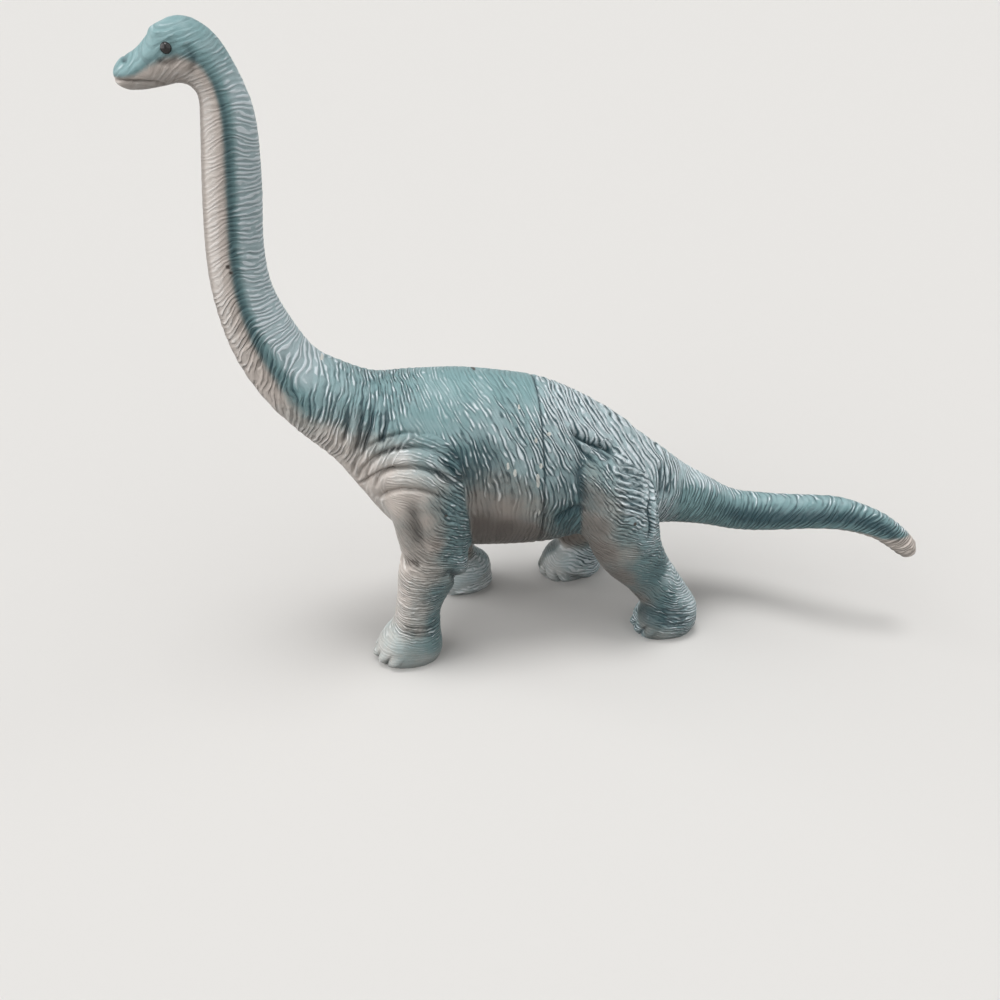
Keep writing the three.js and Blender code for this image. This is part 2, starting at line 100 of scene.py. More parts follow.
def pixelRays(pixels):
    # direction through each pixel: camera axes weighted by the pixel's offset from the middle
    turn = np.array(camera.rotation_euler.to_matrix())
    offset = (np.asarray(pixels, float) / view["pixels"] - 0.5) * view["sensor"] / view["lens"]
    flat = np.stack([offset[:, 0], -offset[:, 1], -np.ones(len(offset))], 1)
    return flat @ turn.T


# Smooth forms of the trunk and the legs
trunk = {  # rows: underside x, z, upper x, z, half width and swing to the left; shares of figure's sizes
    "head": [
        (-1.0, 0.05, -0.99, 0.1, 0.1), (-0.94, -0.04, -0.92, 0.19, 0.4), (-0.8, -0.06, -0.76, 0.27, 0.46),
        (-0.67, -0.05, -0.6, 0.43, 0.49), (-0.54, -0.03, -0.4, 0.51, 0.5), (-0.45, -0.01, -0.2, 0.43, 0.5),
        (-0.37, -0.04, -0.06, 0.26, 0.48),
    ],
    "neck": [
        (-0.29, 1.12, -0.13, 1.14, 0.44), (-0.3, 1.03, -0.11, 1.02, 0.475), (-0.33, 0.8, -0.12, 0.81, 0.5),
        (-0.35, 0.58, -0.14, 0.61, 0.52), (-0.345, 0.4, -0.13, 0.46, 0.56), (-0.305, 0.2, -0.08, 0.33, 0.63),
        (-0.22, 0.02, 0.0, 0.19, 0.76), (-0.1, -0.13, 0.1, 0.12, 0.93),
    ],
    "torso": [
        (-0.42, 0.79, -0.21, 1.05, 0.38), (-0.32, 0.66, -0.08, 1.05, 0.45), (-0.2, 0.51, 0.03, 1.05, 0.485),
        (-0.02, 0.41, 0.14, 1.045, 0.5), (0.2, 0.378, 0.28, 1.025, 0.5), (0.45, 0.37, 0.45, 0.99, 0.5),
        (0.62, 0.395, 0.62, 0.92, 0.47), (0.78, 0.415, 0.8, 0.82, 0.4),
    ],
    "tail": [
        (-0.1, -0.143, -0.1, 0.252, 0.62), (0.0, -0.155, 0.0, 0.174, 0.5),
        (0.084, -0.171, 0.088, 0.098, 0.42, 0.002), (0.192, -0.192, 0.202, 0.024, 0.35, 0.012),
        (0.312, -0.215, 0.321, -0.042, 0.302, 0.038),
        (0.424, -0.207, 0.428, -0.044, 0.288, 0.082), (0.518, -0.176, 0.518, -0.027, 0.275, 0.139),
        (0.613, -0.141, 0.617, 0.002, 0.255, 0.206), (0.691, -0.125, 0.7, 0.017, 0.228, 0.258),
        (0.757, -0.124, 0.798, -0.006, 0.195, 0.304), (0.819, -0.14, 0.867, -0.035, 0.168, 0.336),
        (0.888, -0.184, 0.941, -0.091, 0.143, 0.362), (0.942, -0.222, 0.995, -0.153, 0.117, 0.379),
        (0.994, -0.221, 1.0, -0.209, 0.03, 0.386),
    ],
    "ridge": 0.12,  # how much narrower the trunk is above its middle than below
    "steps": 6, "sides": 72,
    "neckJointRow": 14, "tailJointRow": 24,  # rows on which the mouldings part
    "waist": ((0.4, 0.0), (0.42, 1.0)),  # lowest and highest point of the waist's plane
}
legs = {  # rows: front x, z, rear x, z, distance out and half width
    "foot": [(-0.46, -0.08, 0.44, -0.08, 0.36), (-0.46, 0.0, 0.44, 0.0, 0.36), (-0.51, 0.2, 0.5, 0.2, 0.46),
             (-0.48, 0.48, 0.5, 0.48, 0.48), (-0.38, 0.74, 0.48, 0.76, 0.45)],
    "fore": [
        (-0.23, 0.16, -0.025, 0.16, 1.0, 0.42), (-0.215, 0.225, -0.02, 0.225, 1.0, 0.4),
        (-0.203, 0.3, 0.02, 0.3, 1.01, 0.42), (-0.195, 0.385, 0.08, 0.385, 1.03, 0.455),
        (-0.178, 0.46, 0.102, 0.45, 1.03, 0.465), (-0.19, 0.535, 0.105, 0.535, 1.01, 0.485),
        (-0.21, 0.635, 0.11, 0.625, 0.98, 0.5), (-0.226, 0.73, 0.112, 0.71, 0.94, 0.49),
        (-0.222, 0.82, 0.106, 0.8, 0.88, 0.46), (-0.19, 0.89, 0.08, 0.875, 0.79, 0.39),
        (-0.12, 0.935, 0.02, 0.925, 0.68, 0.26),
    ],
    "hind": [
        (0.875, 0.142, 1.12, 0.15, 1.0, 0.43), (0.845, 0.18, 1.075, 0.21, 1.0, 0.395),
        (0.785, 0.24, 1.025, 0.28, 1.0, 0.4), (0.71, 0.3, 0.975, 0.35, 1.0, 0.45),
        (0.65, 0.375, 0.94, 0.425, 1.0, 0.51), (0.6, 0.48, 0.925, 0.5, 0.98, 0.54),
        (0.56, 0.6, 0.915, 0.57, 0.92, 0.55), (0.535, 0.7, 0.89, 0.63, 0.84, 0.5),
        (0.545, 0.78, 0.85, 0.68, 0.76, 0.4), (0.59, 0.82, 0.79, 0.73, 0.68, 0.24),
    ],
    "foreFoot": -0.165, "hindFoot": 1.0,  # middle of the left foot, share of torsoLength
    "foreHip": 0.74, "hindHip": 0.66,  # height above which a leg no longer swings
    "roundness": 0.9, "steps": 5, "sides": 64,
    "stand": {  # node: rows, foot, hip, track, step, side
        "fore_leg_left": ("fore", "foreFoot", "foreHip", "foreTrack", 0, -1),
        "fore_leg_right": ("fore", "foreFoot", "foreHip", "foreTrack", figure["foreStep"], 1),
        "hind_leg_left": ("hind", "hindFoot", "hindHip", "hindTrack", 0, -1),
        "hind_leg_right": ("hind", "hindFoot", "hindHip", "hindTrack", -figure["hindStep"], 1),
    },
}


def smoothRows(rows, steps):
    # rows on a smooth curve: Catmull-Rom blend of each four neighbouring rows
    rows = np.asarray(rows, float)
    spot = np.linspace(0, len(rows) - 1, (len(rows) - 1) * steps + 1)
    k = np.minimum(spot.astype(int), len(rows) - 2)
    t = (spot - k)[:, None]
    a, b, c, d = (rows[np.clip(k + i, 0, len(rows) - 1)] for i in (-1, 0, 1, 2))
    return (2 * b + (c - a) * t + (2 * a - 5 * b + 4 * c - d) * t**2 + (3 * b - a - 3 * c + d) * t**3) / 2


def trunkRows():
    # rows of the head, neck, torso and tail: each part's shares times its sizes, from its root
    parts = [("head", nape, "headLength", "headLength", "headWidth"),
             ("neck", neckRoot, "neckLength", "neckLength", "neckWidth"),
             ("torso", (0, 0), "torsoLength", "backHeight", "torsoWidth"),
             ("tail", tailRoot, "tailLength", "tailLength", "tailWidth")]
    rows = []
    for name, (x, z), lengthName, heightName, widthName in parts:
        length, height, width = figure[lengthName], figure[heightName], figure[widthName]
        rows += [(x + a * length, z + b * height, x + c * length, z + d * height, -sum(swing) * length,
                  half * width) for a, b, c, d, half, *swing in trunk[name]]
    return rows


def swingAt(z, hip, step):
    # how far the step carries a leg along x: all of it at the floor, none above the hip
    return step * np.maximum(0, 1 - np.asarray(z, float) / (legs[hip] * figure["backHeight"]))


def legRows(rowName, foot, hip, track, step):
    # rows of a foot and the leg above it: shares times sizes, and the leg carried along by the step
    length, height, track = figure["footLength"], figure["footHeight"], figure[track]
    long, tall = figure["torsoLength"], figure["backHeight"]
    middle = legs[foot] * long
    rows = [(middle + a * length + step, b * height, middle + c * length + step, d * height,
             track / 2, half * figure["legWidth"]) for a, b, c, d, half in legs["foot"]]
    rows += [(a * long + swingAt(b * tall, hip, step), b * tall, c * long + swingAt(d * tall, hip, step),
              d * tall, out * track / 2, half * figure["legWidth"])
             for a, b, c, d, out, half in legs[rowName]]
    return rows


def gridFaces(rings, sides):
    # quads between neighbouring rings, closed round the ring, and one face over either end
    r, s = np.meshgrid(np.arange(rings - 1), np.arange(sides), indexing="ij")
    a, b = r * sides + s, r * sides + (s + 1) % sides
    quads = np.stack([a, b, b + sides, a + sides], -1).reshape(-1, 4).tolist()
    last = (rings - 1) * sides
    return quads + [list(range(sides - 1, -1, -1)), list(range(last, last + sides))]


def trunkSkin(rows):
    # a ring of each row: across the row by the sine of an angle, out by its cosine, narrower above
    rows = rows[:, :, None]
    angle = np.linspace(0, 2 * np.pi, trunk["sides"], endpoint=False)
    lift = np.sin(angle)
    x = (rows[:, 0] + rows[:, 2]) / 2 + lift * (rows[:, 2] - rows[:, 0]) / 2
    z = (rows[:, 1] + rows[:, 3]) / 2 + lift * (rows[:, 3] - rows[:, 1]) / 2
    y = rows[:, 4] + rows[:, 5] * np.cos(angle) * (1 - trunk["ridge"] * lift)
    return np.stack([x, y, z], -1).reshape(-1, 3)


def legSkin(rows, side):
    # a rounded ring of each row: powers of the cosine run to its front and of the sine out
    rows = rows[:, :, None]
    angle = np.pi - np.linspace(0, 2 * np.pi, legs["sides"], endpoint=False)
    ahead, out = (np.sign(v) * np.abs(v) ** legs["roundness"] for v in (np.cos(angle), np.sin(angle)))
    x = (rows[:, 0] + rows[:, 2]) / 2 + ahead * (rows[:, 0] - rows[:, 2]) / 2
    z = (rows[:, 1] + rows[:, 3]) / 2 + ahead * (rows[:, 1] - rows[:, 3]) / 2
    y = side * rows[:, 4] + rows[:, 5] * out
    return np.stack([x, y, z], -1).reshape(-1, 3)


def readArray(items, key, width, kind):
    # one value of every vertex, edge or corner of a mesh, as rows
    values = np.empty(len(items) * width, kind)
    items.foreach_get(key, values)
    return values.reshape(-1, width)


def meshArrays(mesh):
    # places of a mesh's points, and the two points of each edge
    return (readArray(mesh.vertices, "co", 3, np.float32).astype(float),
            readArray(mesh.edges, "vertices", 2, np.int32))


def evaluated(obj):
    # the object's mesh with its modifiers applied
    bpy.context.view_layer.update()
    graph = bpy.context.evaluated_depsgraph_get()
    mesh = bpy.data.meshes.new_from_object(obj.evaluated_get(graph))
    bpy.data.objects.remove(obj)
    return mesh


trunkShape = smoothRows(trunkRows(), trunk["steps"])
legShapes = {name: smoothRows(legRows(rows, foot, hip, track, step), legs["steps"])
             for name, (rows, foot, hip, track, step, side) in legs["stand"].items()}

points, faces = [trunkSkin(trunkShape)], gridFaces(len(trunkShape), trunk["sides"])
for name, rows in legShapes.items():
    start = sum(map(len, points))
    points.append(legSkin(rows, legs["stand"][name][5]))
    faces += [[start + i for i in face] for face in gridFaces(len(rows), legs["sides"])]
bodyMesh = bpy.data.meshes.new("body")
bodyMesh.from_pydata(np.concatenate(points).tolist(), [], faces)
body = addObject("body", bodyMesh)

skin = {  # mm
    "firstVoxel": 1.3, "secondVoxel": 1.88, "levels": 2,
    "fillet": 3.0, "smoothRounds": 14, "smoothShare": 0.15,  # rounding where a leg meets the trunk
    "softFillet": 10.0, "softRounds": 70, "foreSoft": (82, 96), "hindSoft": (68, 84),  # shoulder and hip
    "softFront": (-20, -4), "notch": (-26, -16),  # ahead of these the leg keeps its crease to the chest
    "pull": 0.6,  # share of the way to its neighbours' middle that smoothing moves a point
    "probe": 0.6, "farthest": 0.3,  # step to find a slope, and the most that a seam point moves
    "legBlend": 1.5,  # half width over which the trunk's skin gives way to a leg's
    "sole": 0.4,  # what lies lower is pressed flat on the floor
}
union = body.modifiers.new("union", "REMESH")
union.mode, union.voxel_size = "VOXEL", skin["firstVoxel"]
roughMesh = evaluated(body)
print("union:", len(roughMesh.vertices))


# Where a point lies on the trunk or on a leg is read from grids of the side view.
side = {"x": (-112.0, 246.0), "z": (-4.0, 266.0)}  # mm
placeCell = 1.0


def gridPoints(cell):
    # places, in rows along x, of a grid over the side view
    x = np.arange(side["x"][0], side["x"][1] + cell, cell)
    z = np.arange(side["z"][0], side["z"][1] + cell, cell)
    return np.meshgrid(x, z, indexing="ij")


def sample(grid, x, z, cell):
    # value of a grid between its cells, blended from the four nearest
    gx = np.clip((x - side["x"][0]) / cell, 0, grid.shape[0] - 1.001)
    gz = np.clip((z - side["z"][0]) / cell, 0, grid.shape[1] - 1.001)
    i, k = gx.astype(int), gz.astype(int)
    u, v = gx - i, gz - k
    return (grid[i, k] * (1 - u) * (1 - v) + grid[i + 1, k] * u * (1 - v)
            + grid[i, k + 1] * (1 - u) * v + grid[i + 1, k + 1] * u * v)


def placeOn(rows, x, z):
    # for each place the row line through it: which side of each row it lies on changes sign there.
    # Gives the row number, how far across the row from -1 to 1, half length, half width and out.
    x, z = x.ravel()[:, None], z.ravel()[:, None]
    ax, az, bx, bz, out, half = rows.T
    sideOf = (bx - ax) * (z - az) - (bz - az) * (x - ax)
    sideOf /= np.hypot(bx - ax, bz - az)
    first, second = sideOf[:, :-1], sideOf[:, 1:]
    crosses = first * second <= 0
    t = np.where(crosses, first / np.where(crosses & (first != second), first - second, 1), 0)
    cx, cz = ax[:-1] + t * np.diff(ax), az[:-1] + t * np.diff(az)
    dx, dz = bx[:-1] + t * np.diff(bx), bz[:-1] + t * np.diff(bz)
    length = np.maximum(np.hypot(dx - cx, dz - cz), 0.01)
    across = ((x - cx) * (dx - cx) + (z - cz) * (dz - cz)) / length**2 * 2 - 1
    cost = np.where(crosses, np.abs(across), 1e6)
    pick = cost.argmin(1)
    n = np.arange(len(pick))
    end = np.where(np.abs(sideOf[:, 0]) < np.abs(sideOf[:, -1]), 0, len(rows) - 1)
    missed = cost[n, pick] > 1e5
    row = np.where(missed, end, pick + t[n, pick])
    ax, az, bx, bz, out, half = (np.interp(row, np.arange(len(rows)), column) for column in rows.T)
    length = np.maximum(np.hypot(bx - ax, bz - az), 0.01)
    across = ((x[:, 0] - ax) * (bx - ax) + (z[:, 0] - az) * (bz - az)) / length**2 * 2 - 1
    beyond = np.where(missed, np.minimum(np.abs(sideOf[:, 0]), np.abs(sideOf[:, -1])), 0)
    return row, across, length / 2, half, out, beyond


gridX, gridZ = gridPoints(placeCell)
trunkPlace = [field.reshape(gridX.shape) for field in placeOn(trunkShape, gridX, gridZ)]
legPlaces = {name: [field.reshape(gridX.shape) for field in placeOn(rows, gridX, gridZ)]
             for name, rows in legShapes.items()}


def trunkAt(points):
    # row, height and width across the trunk's section, and the way out of its skin: how far past
    # the section's ellipse a point lies, times the smaller of the ellipse's two halves
    x, y, z = points.T
    row, lift, tall, half, out, beyond = (sample(field, x, z, placeCell) for field in trunkPlace)
    across = (y - out) / (half * np.maximum(1 - trunk["ridge"] * lift, 0.1))
    away = (np.hypot(lift, across) - 1) * np.minimum(tall, half) + beyond
    return row / trunk["steps"], lift, across, away


def legAt(name, points):
    # the same for a leg, whose rounded section is a sum of powers
    x, y, z = points.T
    row, rearward, long, half, out, beyond = (sample(field, x, z, placeCell) for field in legPlaces[name])
    across = (y * legs["stand"][name][5] - out) / half
    power = 2 / legs["roundness"]
    size = (np.abs(rearward) ** power + np.abs(across) ** power) ** (1 / power)
    away = (size - 1) * np.minimum(long, half) + beyond
    return row / legs["steps"], rearward, across, away


def smoothStep(low, high, value):
    # 0 at low, 1 at high, 3 squares less 2 cubes between
    t = np.clip((value - low) / (high - low), 0, 1)
    return t * t * (3 - 2 * t)


def nearCrease(points, width, names=legShapes):
    # 1 where the trunk's and a leg's surface meet, falling to 0 some width away
    trunkAway = np.abs(trunkAt(points)[3])
    legAway = np.min([np.abs(legAt(name, points)[3]) for name in names], axis=0)
    return np.exp(-(((trunkAway + legAway) / width) ** 2))


def smoothed(points, edges, weight, rounds):
    # moves each point towards the mean of its neighbours, by its weight, some rounds long
    count = np.bincount(edges.ravel(), minlength=len(points))[:, None]
    for _ in range(rounds):
        total = sum(np.stack([np.bincount(edges[:, end], points[edges[:, 1 - end], c], len(points))
                              for c in range(3)], 1) for end in (0, 1))
        points = points + weight[:, None] * (total / count - points) * skin["pull"]
    return points


points, edges = meshArrays(roughMesh)
notch = smoothStep(*skin["notch"], points[:, 0])
inCrease = notch * nearCrease(points, skin["fillet"])
points = smoothed(points, edges, inCrease + skin["smoothShare"] * (1 - inCrease), skin["smoothRounds"])
soft = [nearCrease(points, skin["softFillet"], [name for name in legShapes if name.startswith(which)])
        * smoothStep(*skin[which + "Soft"], points[:, 2]) for which in ("fore", "hind")]
soft[0] *= smoothStep(*skin["softFront"], points[:, 0])
points = smoothed(points, edges, np.maximum(*soft), skin["softRounds"])
roughMesh.vertices.foreach_set("co", points.astype(np.float32).ravel())
rough = addObject("rough", roughMesh)
even = rough.modifiers.new("even", "REMESH")
even.mode, even.voxel_size = "VOXEL", skin["secondVoxel"]
finer = rough.modifiers.new("finer", "SUBSURF")
finer.levels = finer.render_levels = skin["levels"]
fineMesh = evaluated(rough)
points, edges = meshArrays(fineMesh)
quads = readArray(fineMesh.loops, "vertex_index", 1, np.int32).reshape(-1, 4)
print("fine skin:", len(points))

# Each face belongs to one moulding, and the points on the seams are moved on to the seams.
names = ["neck_and_head", "front_body_shell", "rear_body_shell", "tail"] + list(legs["stand"])
jointRows = np.array(trunkRows())[[trunk["neckJointRow"], trunk["tailJointRow"]]][:, :4]
long, tall = figure["torsoLength"], figure["backHeight"]
waistRow = [trunk["waist"][0][0] * long, trunk["waist"][0][1] * tall,
            trunk["waist"][1][0] * long, trunk["waist"][1][1] * tall]
planes = [jointRows[0], waistRow, jointRows[1]]  # neck, waist, tail


def tailwardOf(row):
    # direction square to a row's line, towards the tail
    return np.array([row[3] - row[1], 0, row[0] - row[2]]) / np.hypot(row[2] - row[0], row[3] - row[1])


def beyondPlane(points, row):
    # distance past the plane through a row, square to the middle plane; positive towards the tail
    return (points - [row[0], 0, row[1]]) @ tailwardOf(row)


def legSide(name, points):
    # positive where a point lies nearer to the leg's surface than to the trunk's
    return trunkAt(points)[3] - legAt(name, points)[3]


legSides = np.stack([legSide(name, points) for name in legShapes])
planeSides = np.stack([beyondPlane(points, row) for row in planes])
faceLegSides, facePlaneSides = legSides[:, quads].mean(2), planeSides[:, quads].mean(2)
label = (np.minimum.accumulate(facePlaneSides > 0, axis=0)).sum(0)
label = np.where(faceLegSides.max(0) > 0, 4 + faceLegSides.argmax(0), label)
lowest, highest = np.full(len(points), 99), np.full(len(points), -1)
for corner in range(4):
    np.minimum.at(lowest, quads[:, corner], label)
    np.maximum.at(highest, quads[:, corner], label)
for _ in range(2):
    for k, name in enumerate(names):
        onSeam = np.flatnonzero((lowest < highest) & (highest == k))
        if k > 3:
            spots = points[onSeam]
            value = legSide(name, spots)
            slope = np.stack([(legSide(name, spots + step) - value) / skin["probe"]
                              for step in np.eye(3) * skin["probe"]], 1)
            move = value[:, None] * slope / np.maximum((slope**2).sum(1), 0.2)[:, None]
            points[onSeam] -= np.clip(move, -skin["farthest"], skin["farthest"])
        elif k > 0:
            row = planes[k - 1]
            points[onSeam] -= beyondPlane(points[onSeam], row)[:, None] * tailwardOf(row)
fineMesh.vertices.foreach_set("co", points.astype(np.float32).ravel())
fineMesh.update()


normals = readArray(fineMesh.vertices, "normal", 3, np.float32).astype(float)
x, y, z = points.T
trunkRow, trunkLift, trunkAcross, trunkAway = trunkAt(points)
legFields = {name: legAt(name, points) for name in legShapes}
onLegs = {name: smoothStep(-skin["legBlend"], skin["legBlend"], trunkAway - fields[3])
          for name, fields in legFields.items()}
onLeg = np.max(list(onLegs.values()), axis=0)
crease = nearCrease(points, skin["fillet"])
ownX = {name: x - swingAt(z, spec[2], spec[4]) for name, spec in legs["stand"].items()}
outward = normals[:, 1] * np.where(onLeg > 0.5, np.sign(y), np.sign(trunkAcross))  # -1 between the legs

tree = BVHTree.FromPolygons(points.tolist(), quads.tolist())


def onSkin(pixels):
    # points of the skin seen through the pixels, in millimetres
    eye = Vector(view["place"])
    hits = [tree.ray_cast(eye, Vector(ray))[0] for ray in pixelRays(pixels)]
    return np.array([hit for hit in hits if hit is not None])


# Skin wrinkles run along strokes laid across the figure.
wrinkles = {  # strokes: depth, full at 1, spacing in mm, and pixels
    "body": [
        # neck, rear side
        (0.32, 2.3, [(236, 140), (248, 143), (261, 136)]), (0.32, 2.3, [(236, 180), (248, 183), (261, 177)]),
        (0.38, 2.4, [(237, 228), (248, 231), (262, 223)]), (0.45, 2.6, [(239, 262), (252, 265), (267, 258)]),
        (0.4, 2.8, [(246, 300), (260, 303), (275, 296)]), (0.3, 3.0, [(256, 320), (270, 319), (288, 313)]),
        # throat
        (0.18, 3.4, [(203, 150), (212, 144), (222, 136)]), (0.18, 3.4, [(204, 200), (212, 193), (223, 182)]),
        (0.18, 3.4, [(206, 250), (214, 241), (224, 228)]), (0.15, 3.4, [(213, 300), (220, 290), (230, 276)]),
        (0.7, 3.0, [(220, 335), (226, 322), (238, 308)]), (0.8, 3.0, [(229, 352), (236, 335), (250, 322)]),
        (0.9, 3.0, [(241, 372), (247, 352), (262, 337)]), (0.9, 3.0, [(253, 387), (262, 370), (275, 358)]),
        (0.9, 3.0, [(263, 395), (274, 386), (281, 372), (283, 362)]),
        # root of the neck
        (0.25, 3.2, [(262, 335), (280, 332)]), (0.25, 3.2, [(275, 345), (290, 365), (310, 385)]),
        (0.5, 2.8, [(325, 360), (335, 375), (338, 392)]), (0.7, 2.8, [(345, 372), (352, 385), (345, 400)]),
        (0.8, 3.0, [(285, 395), (292, 405), (296, 415)]), (0.8, 3.0, [(310, 390), (316, 408), (310, 425)]),
        (0.9, 3.2, [(345, 372), (340, 384), (335, 395)]), (0.9, 3.2, [(365, 375), (364, 388), (362, 400)]),
        (0.9, 3.2, [(385, 380), (386, 392), (385, 405)]), (0.9, 3.2, [(405, 380), (408, 388), (412, 395)]),
        (1.0, 3.6, [(365, 400), (362, 430), (352, 460)]), (1.0, 3.6, [(372, 405), (370, 430), (360, 455)]),
        (1.0, 3.6, [(385, 405), (385, 430), (380, 445)]), (0.9, 3.4, [(340, 415), (337, 425), (330, 435)]),
        # shoulder and flank
        (0.8, 3.2, [(385, 452), (400, 445), (415, 443), (430, 450)]), (0.05, 3.2, [(404, 420), (409, 432)]),
        (0.05, 3.2, [(418, 418), (425, 432)]), (0.1, 3.2, [(432, 424), (440, 438)]),
        (0.15, 3.2, [(369, 480), (372, 466), (384, 458)]), (0.15, 3.2, [(378, 492), (382, 480), (392, 474)]),
        (0.8, 3.2, [(390, 485), (405, 481), (430, 487), (450, 498)]), (0.25, 3.0, [(425, 378), (435, 395)]),
        (0.25, 3.0, [(455, 378), (462, 392)]), (0.5, 3.0, [(462, 400), (470, 410), (480, 420)]),
        (0.25, 3.0, [(480, 373), (488, 384)]), (0.25, 3.0, [(512, 376), (520, 388)]),
        (0.1, 3.0, [(527, 377), (532, 388)]), (0.3, 3.0, [(527, 400), (533, 412)]),
        (0.7, 3.0, [(500, 400), (520, 425), (530, 440)]), (1.0, 3.2, [(433, 460), (445, 470), (455, 478)]),
        (1.0, 3.2, [(445, 445), (458, 458), (470, 480)]), (0.7, 3.0, [(480, 450), (490, 470), (492, 490)]),
        (0.7, 3.0, [(500, 450), (510, 470), (512, 490)]), (0.6, 3.0, [(520, 460), (522, 480)]),
        (0.3, 3.2, [(488, 488), (492, 504)]), (0.3, 3.2, [(520, 490), (518, 508)]),
        (0.05, 3.4, [(485, 518), (486, 530)]), (0.05, 3.4, [(518, 518), (516, 530)]),
        # rump and hip
        (1.22, 2.8, [(505, 400), (520, 420), (530, 440), (535, 460)]),
        (1.49, 2.8, [(545, 380), (560, 400), (575, 425)]), (1.22, 2.8, [(560, 380), (580, 410), (600, 430)]),
        (1.08, 2.8, [(590, 395), (610, 420), (630, 440)]), (1.22, 2.8, [(620, 410), (640, 432), (655, 450)]),
        (1.49, 2.8, [(545, 425), (560, 445), (575, 470)]), (1.49, 2.8, [(545, 445), (552, 470), (555, 490)]),
        (1.49, 2.8, [(560, 450), (570, 480), (565, 500), (555, 515)]),
        (1.0, 3.0, [(571, 430), (585, 440), (600, 445), (620, 462)]),
        # tail
        (1.1, 2.8, [(665, 455), (670, 475), (665, 495)]), (1.1, 2.6, [(675, 475), (673, 495), (668, 505)]),
        (0.8, 2.6, [(683, 475), (685, 490), (680, 507)]), (0.4, 2.6, [(672, 452), (690, 468), (702, 480)]),
        (0.8, 2.4, [(702, 485), (698, 498), (690, 512)]), (0.6, 2.6, [(740, 490), (736, 505), (731, 520)]),
        (0.6, 2.6, [(780, 497), (776, 510), (771, 523)]), (0.6, 2.6, [(820, 499), (814, 512), (807, 524)]),
        (0.6, 2.6, [(850, 505), (844, 516), (837, 528)]), (0.6, 2.6, [(880, 517), (870, 526), (859, 536)]),
        (0.8, 2.4, [(903, 537), (893, 544), (882, 550)]),
    ],
    "legs": [
        # shoulder
        (0.3, 2.8, [(390, 453), (412, 447), (430, 453)]),
        (0.25, 2.8, [(385, 470), (400, 465), (416, 465), (430, 470)]),
        (0.2, 2.8, [(386, 493), (412, 490), (435, 495)]), (0.9, 2.8, [(433, 458), (445, 468), (458, 480)]),
        # foreleg
        (0.3, 2.2, [(396, 510), (406, 525)]), (0.3, 2.2, [(402, 535), (412, 548)]),
        (0.15, 2.4, [(425, 505), (432, 535)]), (0.9, 2.4, [(445, 505), (455, 509), (463, 513)]),
        (0.9, 2.4, [(447, 525), (456, 528), (464, 531)]), (0.9, 2.4, [(448, 545), (456, 548), (463, 551)]),
        (0.7, 2.4, [(405, 562), (412, 570), (425, 576), (445, 572)]),
        (0.8, 2.4, [(399, 580), (406, 587), (420, 590), (440, 585)]),
        (0.7, 2.4, [(398, 602), (405, 608), (420, 610), (438, 603)]),
        (0.7, 2.6, [(398, 622), (405, 629), (420, 631), (437, 625)]),
        (0.1, 3.0, [(390, 645), (410, 649), (432, 648)]), (0.1, 3.0, [(395, 655), (425, 655)]),
        # hind leg
        (1.17, 2.8, [(598, 443), (606, 450), (612, 460)]), (1.04, 2.8, [(590, 450), (600, 456), (610, 463)]),
        (0.5, 2.8, [(580, 445), (592, 458), (603, 473)]), (0.1, 2.6, [(592, 490), (600, 515), (608, 535)]),
        (1.3, 2.9, [(617, 465), (630, 469), (644, 473)]), (1.3, 2.9, [(617, 480), (630, 484), (644, 488)]),
        (1.3, 2.9, [(617, 495), (630, 499), (644, 503)]), (1.3, 2.7, [(622, 512), (632, 515), (645, 520)]),
        (1.17, 2.6, [(640, 460), (650, 470), (655, 480)]), (1.17, 2.3, [(650, 490), (656, 496)]),
        (1.17, 2.3, [(650, 520), (656, 525)]), (0.6, 2.3, [(635, 540), (645, 545), (652, 542)]),
        (0.6, 2.3, [(655, 552), (664, 562)]), (0.6, 2.2, [(668, 570), (676, 582)]),
        (0.3, 2.4, [(640, 565), (655, 578), (668, 595)]), (0.25, 2.2, [(602, 550), (620, 556), (638, 557)]),
        (0.25, 2.2, [(617, 578), (635, 582), (650, 582)]), (0.9, 2.8, [(660, 611), (675, 613), (690, 606)]),
        (0.9, 2.8, [(663, 622), (678, 621), (690, 614)]), (0.2, 2.6, [(686, 600), (693, 606)]),
        (0.1, 3.0, [(645, 622), (655, 630)]), (0.1, 3.0, [(640, 605), (650, 612)]),
    ],
    "flowCell": 4.0, "countCell": 2.0, "countRounds": 500,  # grids of the side view, mm
    "flowSoftness": 9,  # mm2, blurs the strokes into one another
    "border": (1.3, 1.0), "outside": 0.02,  # half widths over which a part begins, and weight off it
    "coarse": 0.9, "height": 0.2,  # moulded wrinkles to each count, and how far they stand out, mm
    "wander": (0.2, 0.07), "wanderSizes": (16.0, 6.0),  # counts, and over how many mm
    "strandLength": 9.0, "swell": 0.35, "deepest": 1.1,  # mm, share of the height, depth
    "onToes": 0.2, "onHead": 0.55, "inFolds": 0.4, "atSeam": 0.3, "inCreases": 0.25,  # share left there
}


def spread(values, places, cell, soften, power):
    # values of places over the side view: each counts by an inverse power of its distance
    x, z = gridPoints(cell)
    sums = np.zeros((values.shape[1] + 1,) + x.shape)
    for value, place in zip(values, places):
        weight = 1 / ((x - place[0]) ** 2 + (z - place[1]) ** 2 + soften) ** power
        sums += weight * np.append(value, 1)[:, None, None]
    return sums[:-1] / sums[-1]


